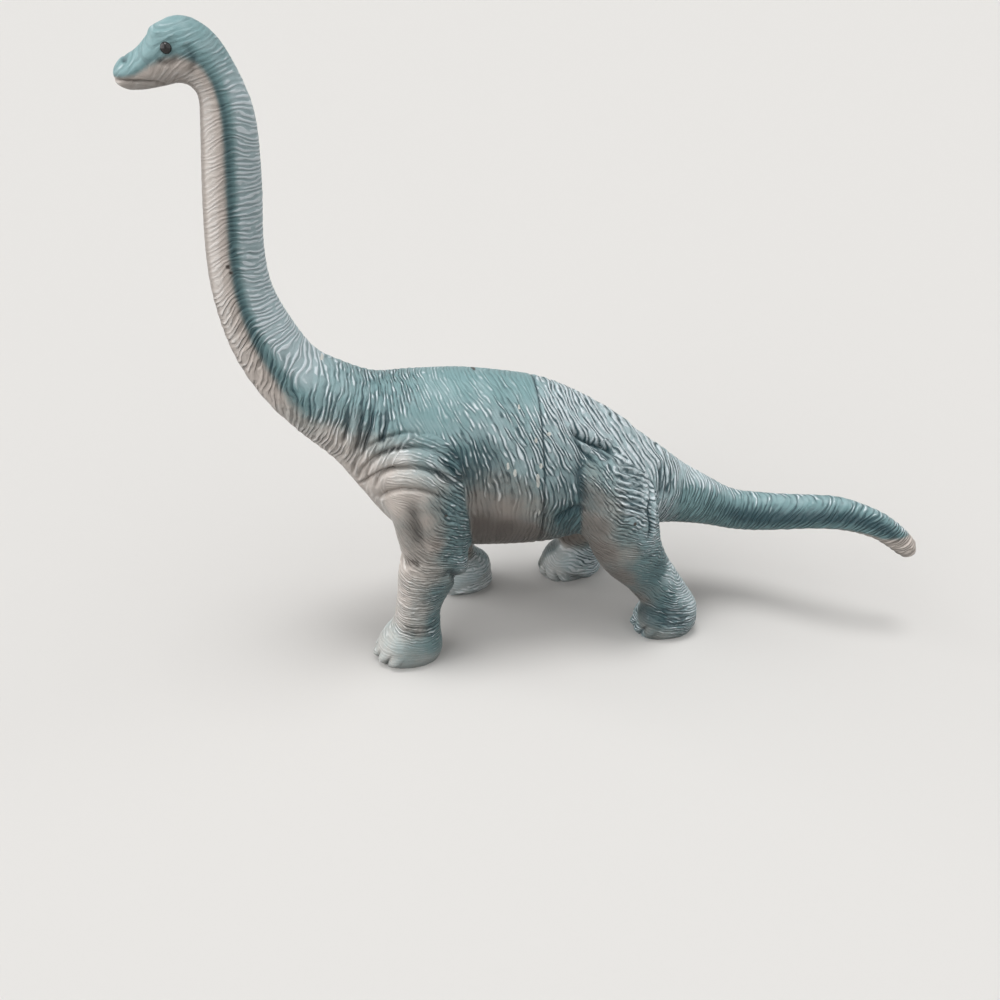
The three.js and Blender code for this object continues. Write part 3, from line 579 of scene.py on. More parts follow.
def flowFrom(strokes):
    # direction, depth and spacing over the side view. Directions are doubled angles, so that a
    # stroke has no sense, and every stroke is cut at its points.
    values, places = [], []
    for depth, spacing, pixels in strokes:
        path = onSkin(pixels)
        for a, b in zip(path[:-1], path[1:]):
            angle = 2 * np.arctan2(b[2] - a[2], b[0] - a[0])
            values.append((np.cos(angle), np.sin(angle), depth, spacing))
            places.append(((a[0] + b[0]) / 2, (a[2] + b[2]) / 2))
    return spread(np.array(values), places, wrinkles["flowCell"], wrinkles["flowSoftness"], 2)


def refined(field, cell):
    # a field of the strokes on a grid of another cell
    x, z = gridPoints(cell)
    return sample(field, x, z, wrinkles["flowCell"])


noise = {"lattice": 32, "layers": 16, "wanderSeed": 3, "strandSeed": 5}


def softNoise(places, size, seed, layer=0):
    # smooth noise about 0: random values on a lattice of the given size, blended between its
    # corners. Each layer, a whole number, has a pattern of its own.
    table = np.random.default_rng(seed).standard_normal((noise["lattice"],) * 3 + (noise["layers"],))
    at = np.asarray(places, float) / size
    low = np.floor(at).astype(int)
    part = at - low
    part = part * part * (3 - 2 * part)
    total = 0
    for corner in np.ndindex(2, 2, 2):
        weight = np.prod(np.where(corner, part, 1 - part), axis=1)
        i, j, k = ((low + corner) % noise["lattice"]).T
        total = total + weight * table[i, j, k, layer]
    return total


def foldCount(flow, inside, towards):
    # a number that grows by one for each fold crossed: the field whose slope comes nearest to
    # the folds' normal over their spacing, found by conjugate gradients
    cell = wrinkles["countCell"]
    cosine, sine, _, spacing = (refined(field, cell) for field in flow)
    angle = np.arctan2(sine, cosine) / 2
    sense = np.where(-np.sin(angle) * towards[0] + np.cos(angle) * towards[1] > 0, 1, -1)
    slopeX, slopeZ = -np.sin(angle) * sense / spacing * cell, np.cos(angle) * sense / spacing * cell
    weightX, weightZ = np.minimum(inside[1:], inside[:-1]), np.minimum(inside[:, 1:], inside[:, :-1])

    def gathered(alongX, alongZ):
        # what flows into each cell less what flows out of it
        total = np.zeros(inside.shape)
        total[1:] += weightX * alongX
        total[:-1] -= weightX * alongX
        total[:, 1:] += weightZ * alongZ
        total[:, :-1] -= weightZ * alongZ
        return total

    count = np.zeros(inside.shape)
    rest = gathered((slopeX[1:] + slopeX[:-1]) / 2, (slopeZ[:, 1:] + slopeZ[:, :-1]) / 2)
    path, size = rest.copy(), (rest**2).sum()
    for _ in range(wrinkles["countRounds"]):
        pushed = gathered(np.diff(path, axis=0), np.diff(path, axis=1))
        step = size / (path * pushed).sum()
        count += step * path
        rest = rest - step * pushed
        size, old = (rest**2).sum(), size
        path = rest + path * size / old
    return count


bodyFlow, legFlow = flowFrom(wrinkles["body"]), flowFrom(wrinkles["legs"])
countX, countZ = gridPoints(wrinkles["countCell"])
rowThere = sample(trunkPlace[0], countX, countZ, placeCell)
middleX, middleZ = (trunkShape[:, 0] + trunkShape[:, 2]) / 2, (trunkShape[:, 1] + trunkShape[:, 3]) / 2
rowNumbers = np.arange(len(trunkShape))
tailward = [np.interp(rowThere, rowNumbers, np.gradient(middle)) for middle in (middleX, middleZ)]


def overPart(place):
    # 1 on a part of the figure in the side view, 0 off it
    return smoothStep(*wrinkles["border"], np.abs(sample(place[1], countX, countZ, placeCell)))


overTrunk = wrinkles["outside"] + overPart(trunkPlace)
overLegs = wrinkles["outside"] + sum(overPart(legPlaces[name]) for name in ("fore_leg_left", "hind_leg_left"))
bodyCount = foldCount(bodyFlow, overTrunk, tailward)
legCount = foldCount(legFlow, overLegs, (0.0, -1.0))
print("fold counts:", round(float(np.ptp(bodyCount))), round(float(np.ptp(legCount))))


def wrinklesOf(flow, counts, places):
    # counts that wander a little, the wave of the moulded wrinkles and its depth. Each wrinkle,
    # one count long, swells and thins along itself by noise of its own.
    count = sample(counts, places[:, 0], places[:, 2], wrinkles["countCell"])
    for far, size in zip(wrinkles["wander"], wrinkles["wanderSizes"]):
        count = count + far * softNoise(places, size, noise["wanderSeed"])
    turns = count * wrinkles["coarse"]
    layer = np.round(turns).astype(int) % noise["layers"]
    strand = softNoise(places, wrinkles["strandLength"], noise["strandSeed"], layer)
    depth = np.clip(sample(flow[2], places[:, 0], places[:, 2], wrinkles["flowCell"]), 0,
                    wrinkles["deepest"])
    swell = 1 - wrinkles["swell"] * (1 - np.clip(strand, -1, 1))
    return np.stack([count, np.cos(2 * np.pi * turns) * swell, depth])


bodyFolded = wrinklesOf(bodyFlow, bodyCount, points)
counts, (wave, depth) = {"trunk": bodyFolded[0]}, bodyFolded[1:]
for name in legShapes:
    near = np.flatnonzero(onLegs[name] > 0)
    ownFolded = wrinklesOf(legFlow, legCount, np.stack([ownX[name], y, z], 1)[near])
    counts[name] = np.zeros(len(points))
    counts[name][near] = ownFolded[0]
    wave[near] += onLegs[name][near] * (ownFolded[1] - wave[near])
    depth[near] += onLegs[name][near] * (ownFolded[2] - depth[near])
wave = wave * depth

# Folds, rolls and creases are lines on the skin, each with its own cross-section.
folds = {  # kind, depth and width in mm, pixels, and for copies their number and pixel step
    "body": {
        "shoulderRollTop": ("roll", 1.2, 4.6, [(365, 480), (367, 470), (375, 459), (384, 453), (393, 450),
                                               (403, 448), (414, 448), (426, 451)]),
        "shoulderRollMiddle": ("roll", 1.6, 6.4, [(375, 488), (377, 479), (384, 472), (393, 468), (403, 467),
                                                  (414, 466), (426, 468), (438, 475), (450, 481)]),
        "shoulderRollLow": ("roll", 2.2, 8.0, [(378, 499), (386, 493), (398, 490), (412, 490), (426, 492),
                                               (440, 497), (455, 504)]),
        "chestFoldFront": ("groove", 0.9, 1.1, [(347, 405), (347, 428), (340, 446)]),
        "chestFoldSecond": ("groove", 1.0, 1.2, [(363, 402), (361, 430), (353, 456)]),
        "chestFoldThird": ("groove", 1.0, 1.2, [(373, 405), (370, 430), (361, 452)]),
        "chestFoldRear": ("groove", 0.9, 1.1, [(385, 405), (385, 430), (378, 446)]),
        "chestRidge": ("ridge", 0.7, 1.4, [(355, 404), (355, 430), (346, 452)]),
        "rollEnd": ("ridge", 0.8, 1.0, [(428, 458), (438, 468), (449, 476), (461, 482)]),
        "rollEndLow": ("groove", 0.9, 0.9, [(440, 458), (452, 470), (464, 482)]),
        "rollEndLast": ("groove", 0.7, 0.8, [(432, 466), (444, 477), (458, 487)]),
        "flankFold": ("groove", 0.6, 1.1, [(447, 446), (460, 461), (471, 482)]),
        "hipGash": ("groove", 2.6, 0.8, [(569, 426), (574, 432), (581, 438), (591, 443), (602, 446),
                                         (613, 452), (621, 460)]),
        "hipGashLow": ("groove", 1.3, 0.8, [(572, 434), (579, 445), (588, 455), (598, 465)]),
        "hipFold": ("groove", 0.8, 0.7, [(590, 447), (602, 453), (612, 462)]),
        "hipRidge": ("ridge", 0.8, 0.8, [(580, 441), (590, 449), (601, 457), (609, 466)]),
        "hipLip": ("ridge", 1.0, 1.8, [(570, 420), (584, 430), (600, 438), (613, 445)]),
        "thighFront": ("groove", 1.1, 2.2, [(580, 445), (581, 460), (580, 480), (583, 505)]),
        "bellyTuck": ("groove", 1.2, 1.8, [(552, 521), (565, 514), (577, 508), (586, 512)]),
        "tailCrease": ("groove", 1.5, 1.1, [(659, 462), (662, 478), (660, 498)]),
        "tailCreaseSecond": ("groove", 1.1, 0.8, [(664, 460), (667, 478), (665, 497)]),
        "tailCreaseThird": ("groove", 0.9, 0.7, [(670, 466), (672, 482), (669, 499)]),
    },
    "foreLeg": {
        "hollow": ("groove", 0.4, 3.4, [(412, 500), (415, 522), (421, 550)]),
        "middleRidge": ("ridge", 0.8, 2.4, [(423, 497), (428, 518), (436, 545)]),
        "elbowFront": ("groove", 1.0, 2.4, [(393, 557), (401, 559), (410, 563), (422, 567)]),
        "elbowBelow": ("ridge", 0.6, 1.6, [(395, 566), (402, 569), (411, 572)]),
        "elbowRear": ("groove", 1.9, 2.0, [(466, 570), (455, 576), (444, 578), (434, 574)]),
        "elbowPoint": ("ridge", 1.3, 2.2, [(468, 558), (460, 563), (452, 566)]),
        "wristFold": ("groove", 0.5, 0.7, [(396, 618), (405, 626), (420, 629), (438, 622)], 3, 0.3, 4.0),
    },
    "hindLeg": {
        "thighBar": ("groove", 0.8, 0.75, [(613, 461), (622, 465), (633, 466), (645, 470)], 7, 0.3, 7.2),
        "thighBarRidge": ("ridge", 0.8, 0.8, [(613, 465), (622, 468), (633, 469), (645, 473)], 7, 0.3, 7.2),
        "thighRidge": ("ridge", 0.6, 3.0, [(592, 470), (595, 500), (602, 535)]),
        "rearGroove": ("groove", 1.1, 0.9, [(648, 480), (651, 495), (649, 510), (651, 526), (648, 543)]),
        "rearRidge": ("ridge", 0.8, 0.8, [(653, 478), (654, 500), (654, 522), (654, 545)]),
        "rearGrooveSecond": ("groove", 0.9, 0.6, [(657, 486), (658, 504), (657, 528)]),
        "shankFold": ("groove", 0.35, 0.9, [(640, 560), (650, 557), (658, 551)]),
        "ankleFold": ("groove", 0.6, 0.8, [(658, 609), (675, 611), (692, 603)], 4, 0.4, 4.6),
    },
    "shares": (0.22, 0.22), "rollShares": (0.1, 0.35),  # parts of its length over which a fold's ends fade
    "reach": 3.5, "rollEdge": 0.9,  # how far a fold is felt, in widths, and how soft a roll's edge is, mm
    "facing": (-0.35, 0.15),  # from skin turned inwards, which has no folds, to skin turned outwards
    "fadePower": 0.7, "darkWidth": 1.4, "rollShade": 0.4, "shadePower": 1.5,
    "steps": 5, "seamDepth": 0.55, "seamWidth": 0.5,
}
toes = {"count": 5, "arcShare": 0.417, "depth": 1.1, "width": 0.7, "swell": 1.2, "top": 10.0, "blend": 7.0,
        "radiusShare": 0.42, "foreTurn": -0.15, "hindTurn": -0.35,  # turn in radians
        "lean": 0.035,  # radians to the millimetre
        "ends": (1.02, 0.9),  # share of the arc over which the toes fade
        "lastGroove": 0.4, "shade": 0.6, "swellFrom": 4}  # share of a groove's depth, painted shade in a groove, mm
head = {  # lines on the head, as shares of headLength from the nape
    "lines": [
        ("ridge", 0.9, 1.8, [(-0.66, 0.36), (-0.54, 0.39), (-0.42, 0.33)]),
        ("groove", 0.6, 1.0, [(-0.6, 0.2), (-0.5, 0.17), (-0.41, 0.22)]),
        ("groove", 0.7, 0.5, [(-1.02, 0.05), (-0.9, 0.045), (-0.76, 0.035), (-0.62, 0.02), (-0.55, -0.005)]),
        ("ridge", 0.3, 1.1, [(-0.98, 0.095), (-0.84, 0.09), (-0.7, 0.08), (-0.6, 0.065)]),
        ("groove", 0.55, 0.7, [(-0.885, 0.18), (-0.86, 0.19), (-0.835, 0.18)]),
        ("groove", 0.5, 1.2, [(-0.36, 0.32), (-0.3, 0.2), (-0.36, 0.06)]),
    ],
    "endShare": 0.2,  # part of a line over which either end fades
    "rows": (7.6, 6.4),  # rows of the trunk over which the head begins
    "eye": (-0.505, 0.285), "eyeRadius": 1.9, "eyeProud": 0.75,
}


def alongPath(x, z, path):
    # signed distance to the nearest stretch of a path, and the share of its length reached there
    lengths = np.hypot(*np.diff(path, axis=0).T)
    starts = np.concatenate([[0], np.cumsum(lengths)])
    best, sense, reached = np.full(len(x), 1e9), np.ones(len(x)), np.zeros(len(x))
    for (ax, az), (bx, bz), length, start in zip(path[:-1], path[1:], lengths, starts):
        t = np.clip(((x - ax) * (bx - ax) + (z - az) * (bz - az)) / length**2, 0, 1)
        away = np.hypot(x - ax - t * (bx - ax), z - az - t * (bz - az))
        nearer = away < best
        best = np.where(nearer, away, best)
        sense = np.where(nearer, np.sign((bx - ax) * (z - az) - (bz - az) * (x - ax)), sense)
        reached = np.where(nearer, (start + t * length) / starts[-1], reached)
    return best * sense, reached


def foldHeight(kind, distance, width):
    # groove and ridge: a bell across the line. roll: on the line's upper side, one width wide, the
    # skin is cut down to half an ellipse, and beyond either edge it comes back up by a bell
    if kind == "roll":
        beyond = np.maximum(np.abs(distance - width / 2) - width / 2, 0)
        swell = np.sqrt(np.clip(1 - (2 * distance / width - 1) ** 2, 0, 1))
        return swell - np.exp(-((beyond / folds["rollEdge"]) ** 2))
    bell = np.exp(-((distance / width) ** 2))
    return bell if kind == "ridge" else -bell


def addFolds(height, shade, caught, table, x, mask):
    # adds each line of a table: its cross-section times its depth, faded at both ends, to height,
    # what lies low to shade and what stands up to caught
    for kind, deep, width, pixels, *copies in table.values():
        count, stepX, stepY = copies or (1, 0, 0)
        for k in range(count):
            path = onSkin([(px + k * stepX, py + k * stepY) for px, py in pixels])
            if len(path) < 2:
                continue
            path = smoothRows(path[:, [0, 2]], folds["steps"])
            low, high = path.min(0) - folds["reach"] * width, path.max(0) + folds["reach"] * width
            near = np.flatnonzero((x > low[0]) & (x < high[0]) & (z > low[1]) & (z < high[1]) & (mask > 0.01))
            distance, reached = alongPath(x[near], z[near], path)
            startShare, endShare = folds["rollShares"] if kind == "roll" else folds["shares"]
            fade = np.clip(np.minimum(reached / startShare, (1 - reached) / endShare), 0, 1)
            shape = foldHeight(kind, distance, width) * fade ** folds["fadePower"] * mask[near]
            height[near] += deep * shape
            caught[near] += np.clip(shape, 0, 1) * min(deep, 1)
            # painted shade: a wide groove isn't dark, and beside a roll there is only a soft shade
            darkest = min(deep, 1, folds["darkWidth"] / width if kind == "groove" else folds["rollShade"])
            shade[near] += np.clip(-shape, 0, 1) ** folds["shadePower"] * darkest


folding, shade, caught = np.zeros((3, len(points)))
facesOut = smoothStep(*folds["facing"], outward)
addFolds(folding, shade, caught, folds["body"], x, facesOut)
for name, (kind, *_) in legs["stand"].items():
    addFolds(folding, shade, caught, folds[kind + "Leg"], ownX[name], onLegs[name] * facesOut)
print("folds laid")

# toes: grooves round the front of each foot, with the toes swelling between them
for name, (kind, *_) in legs["stand"].items():
    rearward, across = legFields[name][1:3]
    angle = np.arctan2(across, -rearward) - toes["lean"] * z - toes[kind + "Turn"]
    arc = toes["arcShare"] * np.pi
    place = (angle / arc + 1) * toes["count"] / 2
    onToes = smoothStep(*toes["ends"], np.abs(angle) / arc) * onLegs[name]
    onToes = onToes * smoothStep(toes["top"], toes["top"] - toes["blend"], z)
    toeWidth = 2 * arc / toes["count"] * figure["footLength"] * toes["radiusShare"]
    groove = np.exp(-((np.abs(place - np.round(place)) * toeWidth / toes["width"]) ** 2))
    last = np.minimum(np.abs(place), np.abs(place - toes["count"])) < 0.3
    groove = np.where(last, toes["lastGroove"] * groove, groove)
    swell = np.cos(np.pi * (place - np.floor(place) - 0.5)) ** 2
    swell = swell * smoothStep(0, toes["swellFrom"], z) * smoothStep(toes["top"], toes["swellFrom"], z)
    folding += onToes * (toes["swell"] * swell - toes["depth"] * groove)
    shade += onToes * groove * toes["shade"]
    wave = wave * (1 - (1 - wrinkles["onToes"]) * onToes)


# head: brow over the eye, socket, nostril and the line of the mouth
def headPlace(shares):
    # shares of the head's length, from the nape, in mm
    return np.array(nape) + np.array(shares) * figure["headLength"]


onHead = smoothStep(*head["rows"], trunkRow)
for kind, deep, width, path in head["lines"]:
    distance, reached = alongPath(x, z, smoothRows(headPlace(path), folds["steps"]))
    fade = np.minimum(1, np.minimum(reached, 1 - reached) / head["endShare"]) * onHead
    shape = foldHeight(kind, distance, width) * fade
    folding += deep * shape
    shade += np.clip(-shape, 0, 1) * min(deep, 1)
wave = wave * (1 - (1 - wrinkles["onHead"]) * onHead)

# the seam at the waist, a fine groove all round
seam = np.exp(-((beyondPlane(points, waistRow) / folds["seamWidth"]) ** 2)) * (1 - onLeg)
wave = wave * (1 - (1 - wrinkles["inFolds"]) * np.clip(shade, 0, 1))
wave = wave * (1 - (1 - wrinkles["atSeam"]) * seam)
folding -= folds["seamDepth"] * seam
shade += seam

height = wave * wrinkles["height"] * (1 - (1 - wrinkles["inCreases"]) * crease) + folding
points = points + normals * height[:, None]
points[:, 2] = np.where(points[:, 2] < skin["sole"], 0.0, points[:, 2])
print("skin displaced")

# Paint, with painted shade and some painted light, goes by spots on the skin, and on the neck and the tail by
# the height round the trunk.
paint = {  # spots are pixels with paint, pale brushing and darkness: 0 is none, 1 a full coat
    "bodySpots": [
        # root of the neck and chest, the chest's pale brushing partly painted light
        (345, 385, 1, 0.6, 0), (360, 378, 1, 0.5, 0), (380, 390, 1, 0.45, 0), (330, 410, 0.75, 0.45, 0.35),
        (350, 420, 0.7, 0.4, 0.35), (380, 420, 0.85, 0.45, 0.2), (345, 445, 0.2, 0.6, 0),
        (330, 435, 0.2, 0.6, 0.05), (360, 465, 0.15, 0.6, 0), (372, 480, 0.1, 0.6, 0),
        (375, 448, 0.45, 0.4, 0.2), (400, 432, 0.85, 0.4, 0.15), (425, 438, 0.8, 0.4, 0.15),
        # shoulder rolls
        (390, 446, 0.5, 0.45, 0.2), (412, 445, 0.6, 0.45, 0.25), (375, 466, 0.2, 0.8, 0),
        (400, 458, 0.3, 1.3, 0), (425, 460, 0.7, 0.6, 0.2), (384, 480, 0.12, 0.9, 0),
        (404, 474, 0.3, 0.45, 0.05), (410, 486, 0.3, 0.5, 0.05), (435, 487, 0.5, 0.7, 0.1),
        # back
        (420, 395, 1, 0.5, 0), (460, 376, 1, 0.12, 0), (500, 376, 1, 0.15, 0), (524, 378, 1, 0.15, 0),
        (450, 398, 1, 0.55, 0), (440, 420, 0.9, 0.5, 0.05), (480, 398, 1, 0.6, 0), (515, 398, 1, 0.55, 0),
        # flank, darkened in places and towards the belly with painted shade
        (460, 430, 0.9, 0.6, 0.1), (500, 430, 0.9, 0.8, 0.05), (530, 425, 0.95, 0.6, 0),
        (460, 460, 0.9, 0.3, 0.7), (470, 475, 0.6, 0.3, 0.85), (485, 455, 0.8, 0.45, 0.85),
        (515, 452, 0.8, 0.65, 0.3), (530, 465, 0.85, 0.75, 0.2), (495, 480, 0.5, 0.45, 0.7),
        (520, 488, 0.5, 0.45, 0.55), (480, 500, 0.25, 0.25, 0.7), (510, 508, 0.2, 0.2, 0.6),
        (535, 505, 0.4, 0.35, 0.4), (480, 525, 0.1, 0, 1.1), (505, 528, 0.1, 0, 1.1),
        (530, 530, 0.15, 0.1, 1.0),
        # rump and hip, darkened low down with painted shade
        (555, 385, 1, 0.85, 0), (544, 381, 1, 0.8, 0), (560, 405, 0.95, 1.1, 0), (590, 400, 0.95, 1.15, 0),
        (545, 430, 0.95, 0.85, 0.15), (560, 455, 0.95, 0.8, 0.3), (572, 478, 0.95, 0.6, 0.55),
        (548, 480, 0.85, 0.7, 0.3), (560, 500, 0.7, 0.6, 0.45), (545, 520, 0.55, 0.35, 0.4),
        (568, 516, 1, 0.1, 0.75), (585, 432, 0.95, 0.8, 0.1), (592, 446, 1, 0.8, 0.2),
        (620, 432, 0.95, 1, 0), (610, 415, 0.95, 1, 0), (642, 450, 0.95, 1, 0), (655, 462, 0.95, 0.9, 0.05),
        (662, 480, 1, 0.8, 0.15),
    ],
    "legSpots": [
        # upper foreleg, darkened in its hollow and at its rear with painted shade
        (398, 505, 0.05, 0.2, 0), (396, 535, 0.05, 0.2, 0), (410, 499, 0.2, 0.05, 0.35),
        (412, 512, 0.3, 0.05, 0.5), (415, 530, 0.3, 0.05, 0.6), (418, 548, 0.25, 0.1, 0.5),
        (427, 520, 0.15, 0.1, 0.3), (432, 545, 0.12, 0.15, 0.2), (438, 510, 0.5, 0.1, 0.45),
        (442, 530, 0.45, 0.15, 0.4), (452, 512, 0.9, 0.55, 0.4), (455, 532, 0.85, 0.5, 0.45),
        (452, 552, 0.75, 0.45, 0.4), (464, 520, 1, 0.5, 0.45), (464, 548, 1, 0.5, 0.35),
        # forearm and forefoot, the forearm's rear darkened with painted shade
        (402, 565, 0.08, 0.6, 0), (425, 572, 0.25, 0.25, 0.2), (398, 590, 0.12, 0.8, 0),
        (398, 615, 0.2, 0.8, 0), (418, 590, 0.35, 0.5, 0.1), (416, 612, 0.35, 0.5, 0.1),
        (437, 595, 0.75, 0.4, 0.45), (437, 618, 0.85, 0.35, 0.45), (415, 630, 0.35, 0.3, 0.2),
        (392, 640, 0.45, 0.6, 0), (383, 652, 0.4, 0.7, 0), (400, 650, 0.55, 0.55, 0.15),
        (415, 650, 0.65, 0.45, 0.3), (433, 645, 0.8, 0.4, 0.35), (425, 660, 0.5, 0.6, 0.1),
        # thigh, its front darkened with painted shade
        (602, 452, 0.95, 0.7, 0.25), (590, 468, 0.6, 0.3, 0.35), (586, 495, 0.5, 0.1, 0.85),
        (600, 500, 0.4, 0.1, 0.8), (600, 525, 0.25, 0, 0.85), (612, 480, 0.7, 0.5, 0.2),
        (630, 478, 0.8, 1.7, 0), (636, 500, 0.85, 1.7, 0), (615, 510, 0.5, 0.3, 0.35),
        (625, 530, 0.6, 0.35, 0.35), (642, 520, 0.9, 0.8, 0.2), (655, 500, 1, 0.75, 0.2),
        (650, 540, 0.95, 0.7, 0.2), (632, 552, 0.45, 0.2, 0.4),
        # shank and hind foot, their fronts darkened with painted shade
        (605, 552, 0.2, 0, 0.85), (622, 578, 0.25, 0, 0.85), (640, 598, 0.3, 0, 0.85),
        (645, 568, 0.75, 0.35, 0.4), (658, 572, 1, 0.15, 0.75), (655, 595, 0.7, 0.15, 0.55),
        (671, 572, 0.85, 1, 0), (682, 590, 0.85, 1, 0), (670, 598, 0.9, 0.35, 0.5), (692, 604, 0.8, 1, 0),
        (672, 614, 1, 0.6, 0.7), (680, 624, 0.9, 0.6, 0.55), (642, 612, 0.5, 0.1, 1.1),
        (640, 624, 0.4, 0.4, 0.75), (648, 632, 0.5, 0.4, 0.7), (653, 618, 0.8, 0.1, 0.9),
        (668, 634, 0.5, 0.6, 0.2),
    ],
    "softness": 14.0,  # mm2, blurs the edges between spots
    "torsoRows": ((12.6, 14.2), (25.2, 23.8)),  # rows of the trunk over which the spots begin and end
    "tailRows": (23.5, 25), "throatRows": (13.5, 11),  # rows over which the tail and the throat begin
    # heights round the trunk, from -1 below to 1 above
    "paleFrom": (-0.1, 0.55), "tailLift": 0.5,  # where brushing sets in, and how much higher on the tail
    # the throat's pale veil is painted light, for the light that falls on its front
    "throatBelow": (-0.25, -0.6), "throatPaintedLight": 1.1,
    "neckShade": (0.1, 0.17), "tailShade": (0.2, 0.46),  # middle and width of the dark band: on the neck airbrush with painted shade, on the tail's lower side painted shade with airbrush
    "bellyBelow": (-0.7, -0.97), "bellyBare": 0.9, "bellyShade": 0.6,
    "innerLeg": (0.1, -0.5),  # from skin turned outwards to skin turned inwards
    # the inner feet's pale brushing is partly painted light, for feet that the body shades
    "innerBare": 0.7, "innerHigh": (16, 26), "innerPaleAndPaintedLight": 1.6, "innerFoot": (24, 16),  # heights in mm
    "ridgePale": 0.45,  # brushing on the crests of folds
    "fleckEdge": (1.15, 0.7), "fleckThrough": 4,  # half sizes over which a fleck fades, and mm inwards
    "foreTop": (96, 86), "hindTop": (108, 98),  # heights over which a leg takes on the body's paint
    "trunkEdges": [  # row, height round the trunk where paint begins, softness, pale (on the neck's rear partly painted light), dark (airbrush with painted shade)
        (0, -0.05, 0.3, 0.3, 0.2), (6, -0.1, 0.25, 0.5, 0.4), (7, -0.16, 0.2, 1.1, 0.8),
        (9, -0.14, 0.2, 1.4, 0.8), (11, -0.12, 0.2, 1.5, 0.8), (13, -0.16, 0.25, 1.25, 0.45),
        (14, -0.3, 0.25, 0.6, 0.5), (16, -0.6, 0.2, 0.3, 0), (22, -0.7, 0.2, 0.7, 0),
        (24, -0.75, 0.3, 1.1, 0.1), (25.4, -0.8, 0.3, 1.2, 0.15), (27, -0.9, 0.3, 0.6, 1.2),
        (33, -0.6, 0.35, 0.6, 1.2), (33.8, 0.3, 0.5, 1, 0.4), (34.5, 1.4, 0.5, 1.2, 0), (36, 1.6, 0.5, 1, 0),
    ],
    "chips": [  # pixel and size across and down in mm, where the paint is knocked off
        (538, 481, 0.9, 3.4), (541, 466, 0.8, 1.2), (508, 466, 0.7, 1.6), (515, 473, 0.7, 1.8),
        (519, 407, 0.5, 0.8), (536, 440, 0.6, 1.2), (539, 512, 0.5, 2.2), (322, 357, 1.2, 0.6),
        (549, 434, 1.1, 0.7),
    ],
    "specks": [  # pixel and size in mm, where dirt sits
        (473, 368, 0.9), (484, 367, 0.6), (228, 267, 0.9), (231, 273, 0.7), (446, 516, 0.7), (635, 524, 0.8),
    ],
}


def coatFrom(spots):
    # the spots' values spread over the side view
    places, values = [], []
    for spot in spots:
        hit = onSkin([spot[:2]])
        if len(hit):
            places.append(hit[0][[0, 2]])
            values.append(spot[2:])
    return spread(np.array(values, float), places, wrinkles["flowCell"] / 2, paint["softness"], 2)


def flecks(marks):
    # 1 within each small ellipse round a pixel's point on the skin, fading at its edge
    total = np.zeros(len(points))
    for px, py, *size in marks:
        for hit in onSkin([(px, py)]):
            flat = np.hypot((points[:, 0] - hit[0]) / size[0], (points[:, 2] - hit[2]) / size[-1])
            through = (points[:, 1] - hit[1]) / paint["fleckThrough"]
            total = np.maximum(total, smoothStep(*paint["fleckEdge"], np.hypot(flat, through)))
    return total


coatCell = wrinkles["flowCell"] / 2
bodyCoat, legCoat = coatFrom(paint["bodySpots"]), coatFrom(paint["legSpots"])
row, lift = trunkRow, trunkLift
keys, edge, softness, palest, shaded = np.array(paint["trunkEdges"]).T
above = lift - np.interp(row, keys, edge)
painted = smoothStep(-1, 1, above / np.interp(row, keys, softness))
onTail = smoothStep(*paint["tailRows"], row)
onThroat = smoothStep(*paint["throatBelow"], lift) * smoothStep(*paint["throatRows"], row)
paleAmount = smoothStep(*paint["paleFrom"], lift - paint["tailLift"] * onTail) * painted
# the throat is brushed paler as painted light
paleAmount = np.maximum(paleAmount * np.interp(row, keys, palest), paint["throatPaintedLight"] * onThroat)
neckBand, tailBand = (np.exp(-(((at - middle) / width) ** 2)) for at, (middle, width) in
                      ((above, paint["neckShade"]), (lift, paint["tailShade"])))
sprayedAndShadedBand = (neckBand * (1 - onTail) + tailBand * onTail) * np.interp(row, keys, shaded)
onTorso = np.prod([smoothStep(*rows, row) for rows in paint["torsoRows"]], axis=0)
coat = [painted, paleAmount, sprayedAndShadedBand]
coat = [c * (1 - onTorso) + sample(field, x, z, coatCell) * onTorso for c, field in zip(coat, bodyCoat)]
under = smoothStep(*paint["bellyBelow"], lift) * (1 - onLeg)
coat = [coat[0] * (1 - under * paint["bellyBare"]), coat[1] * (1 - under),
        coat[2] * (1 - under) + paint["bellyShade"] * under]
inner = smoothStep(*paint["innerLeg"], outward) * onLeg
for name, (kind, *_) in legs["stand"].items():
    own = [sample(field, ownX[name], z, coatCell) for field in legCoat]
    share = onLegs[name] * smoothStep(*paint[kind + "Top"], z)
    coat = [c * (1 - share) + o * share for c, o in zip(coat, own)]
# painted light on the inner side of the feet: pale brushing is added there, and the darkness is taken off
innerFoot = inner * smoothStep(*paint["innerFoot"], z)
coat = [coat[0] * (1 - paint["innerBare"] * inner * smoothStep(*paint["innerHigh"], z)),
        np.maximum(coat[1], paint["innerPaleAndPaintedLight"] * innerFoot), coat[2] * (1 - innerFoot)]
coat[1] = coat[1] + paint["ridgePale"] * np.clip(caught, 0, 1) * coat[0]  # the dry brush catches ridges
chip, speck = flecks(paint["chips"]), flecks(paint["specks"])

# The eight mouldings, each closed behind its seams
lip = {"depth": 1.0, "back": 0.25}  # mm, how far a moulding's edge turns in at a seam


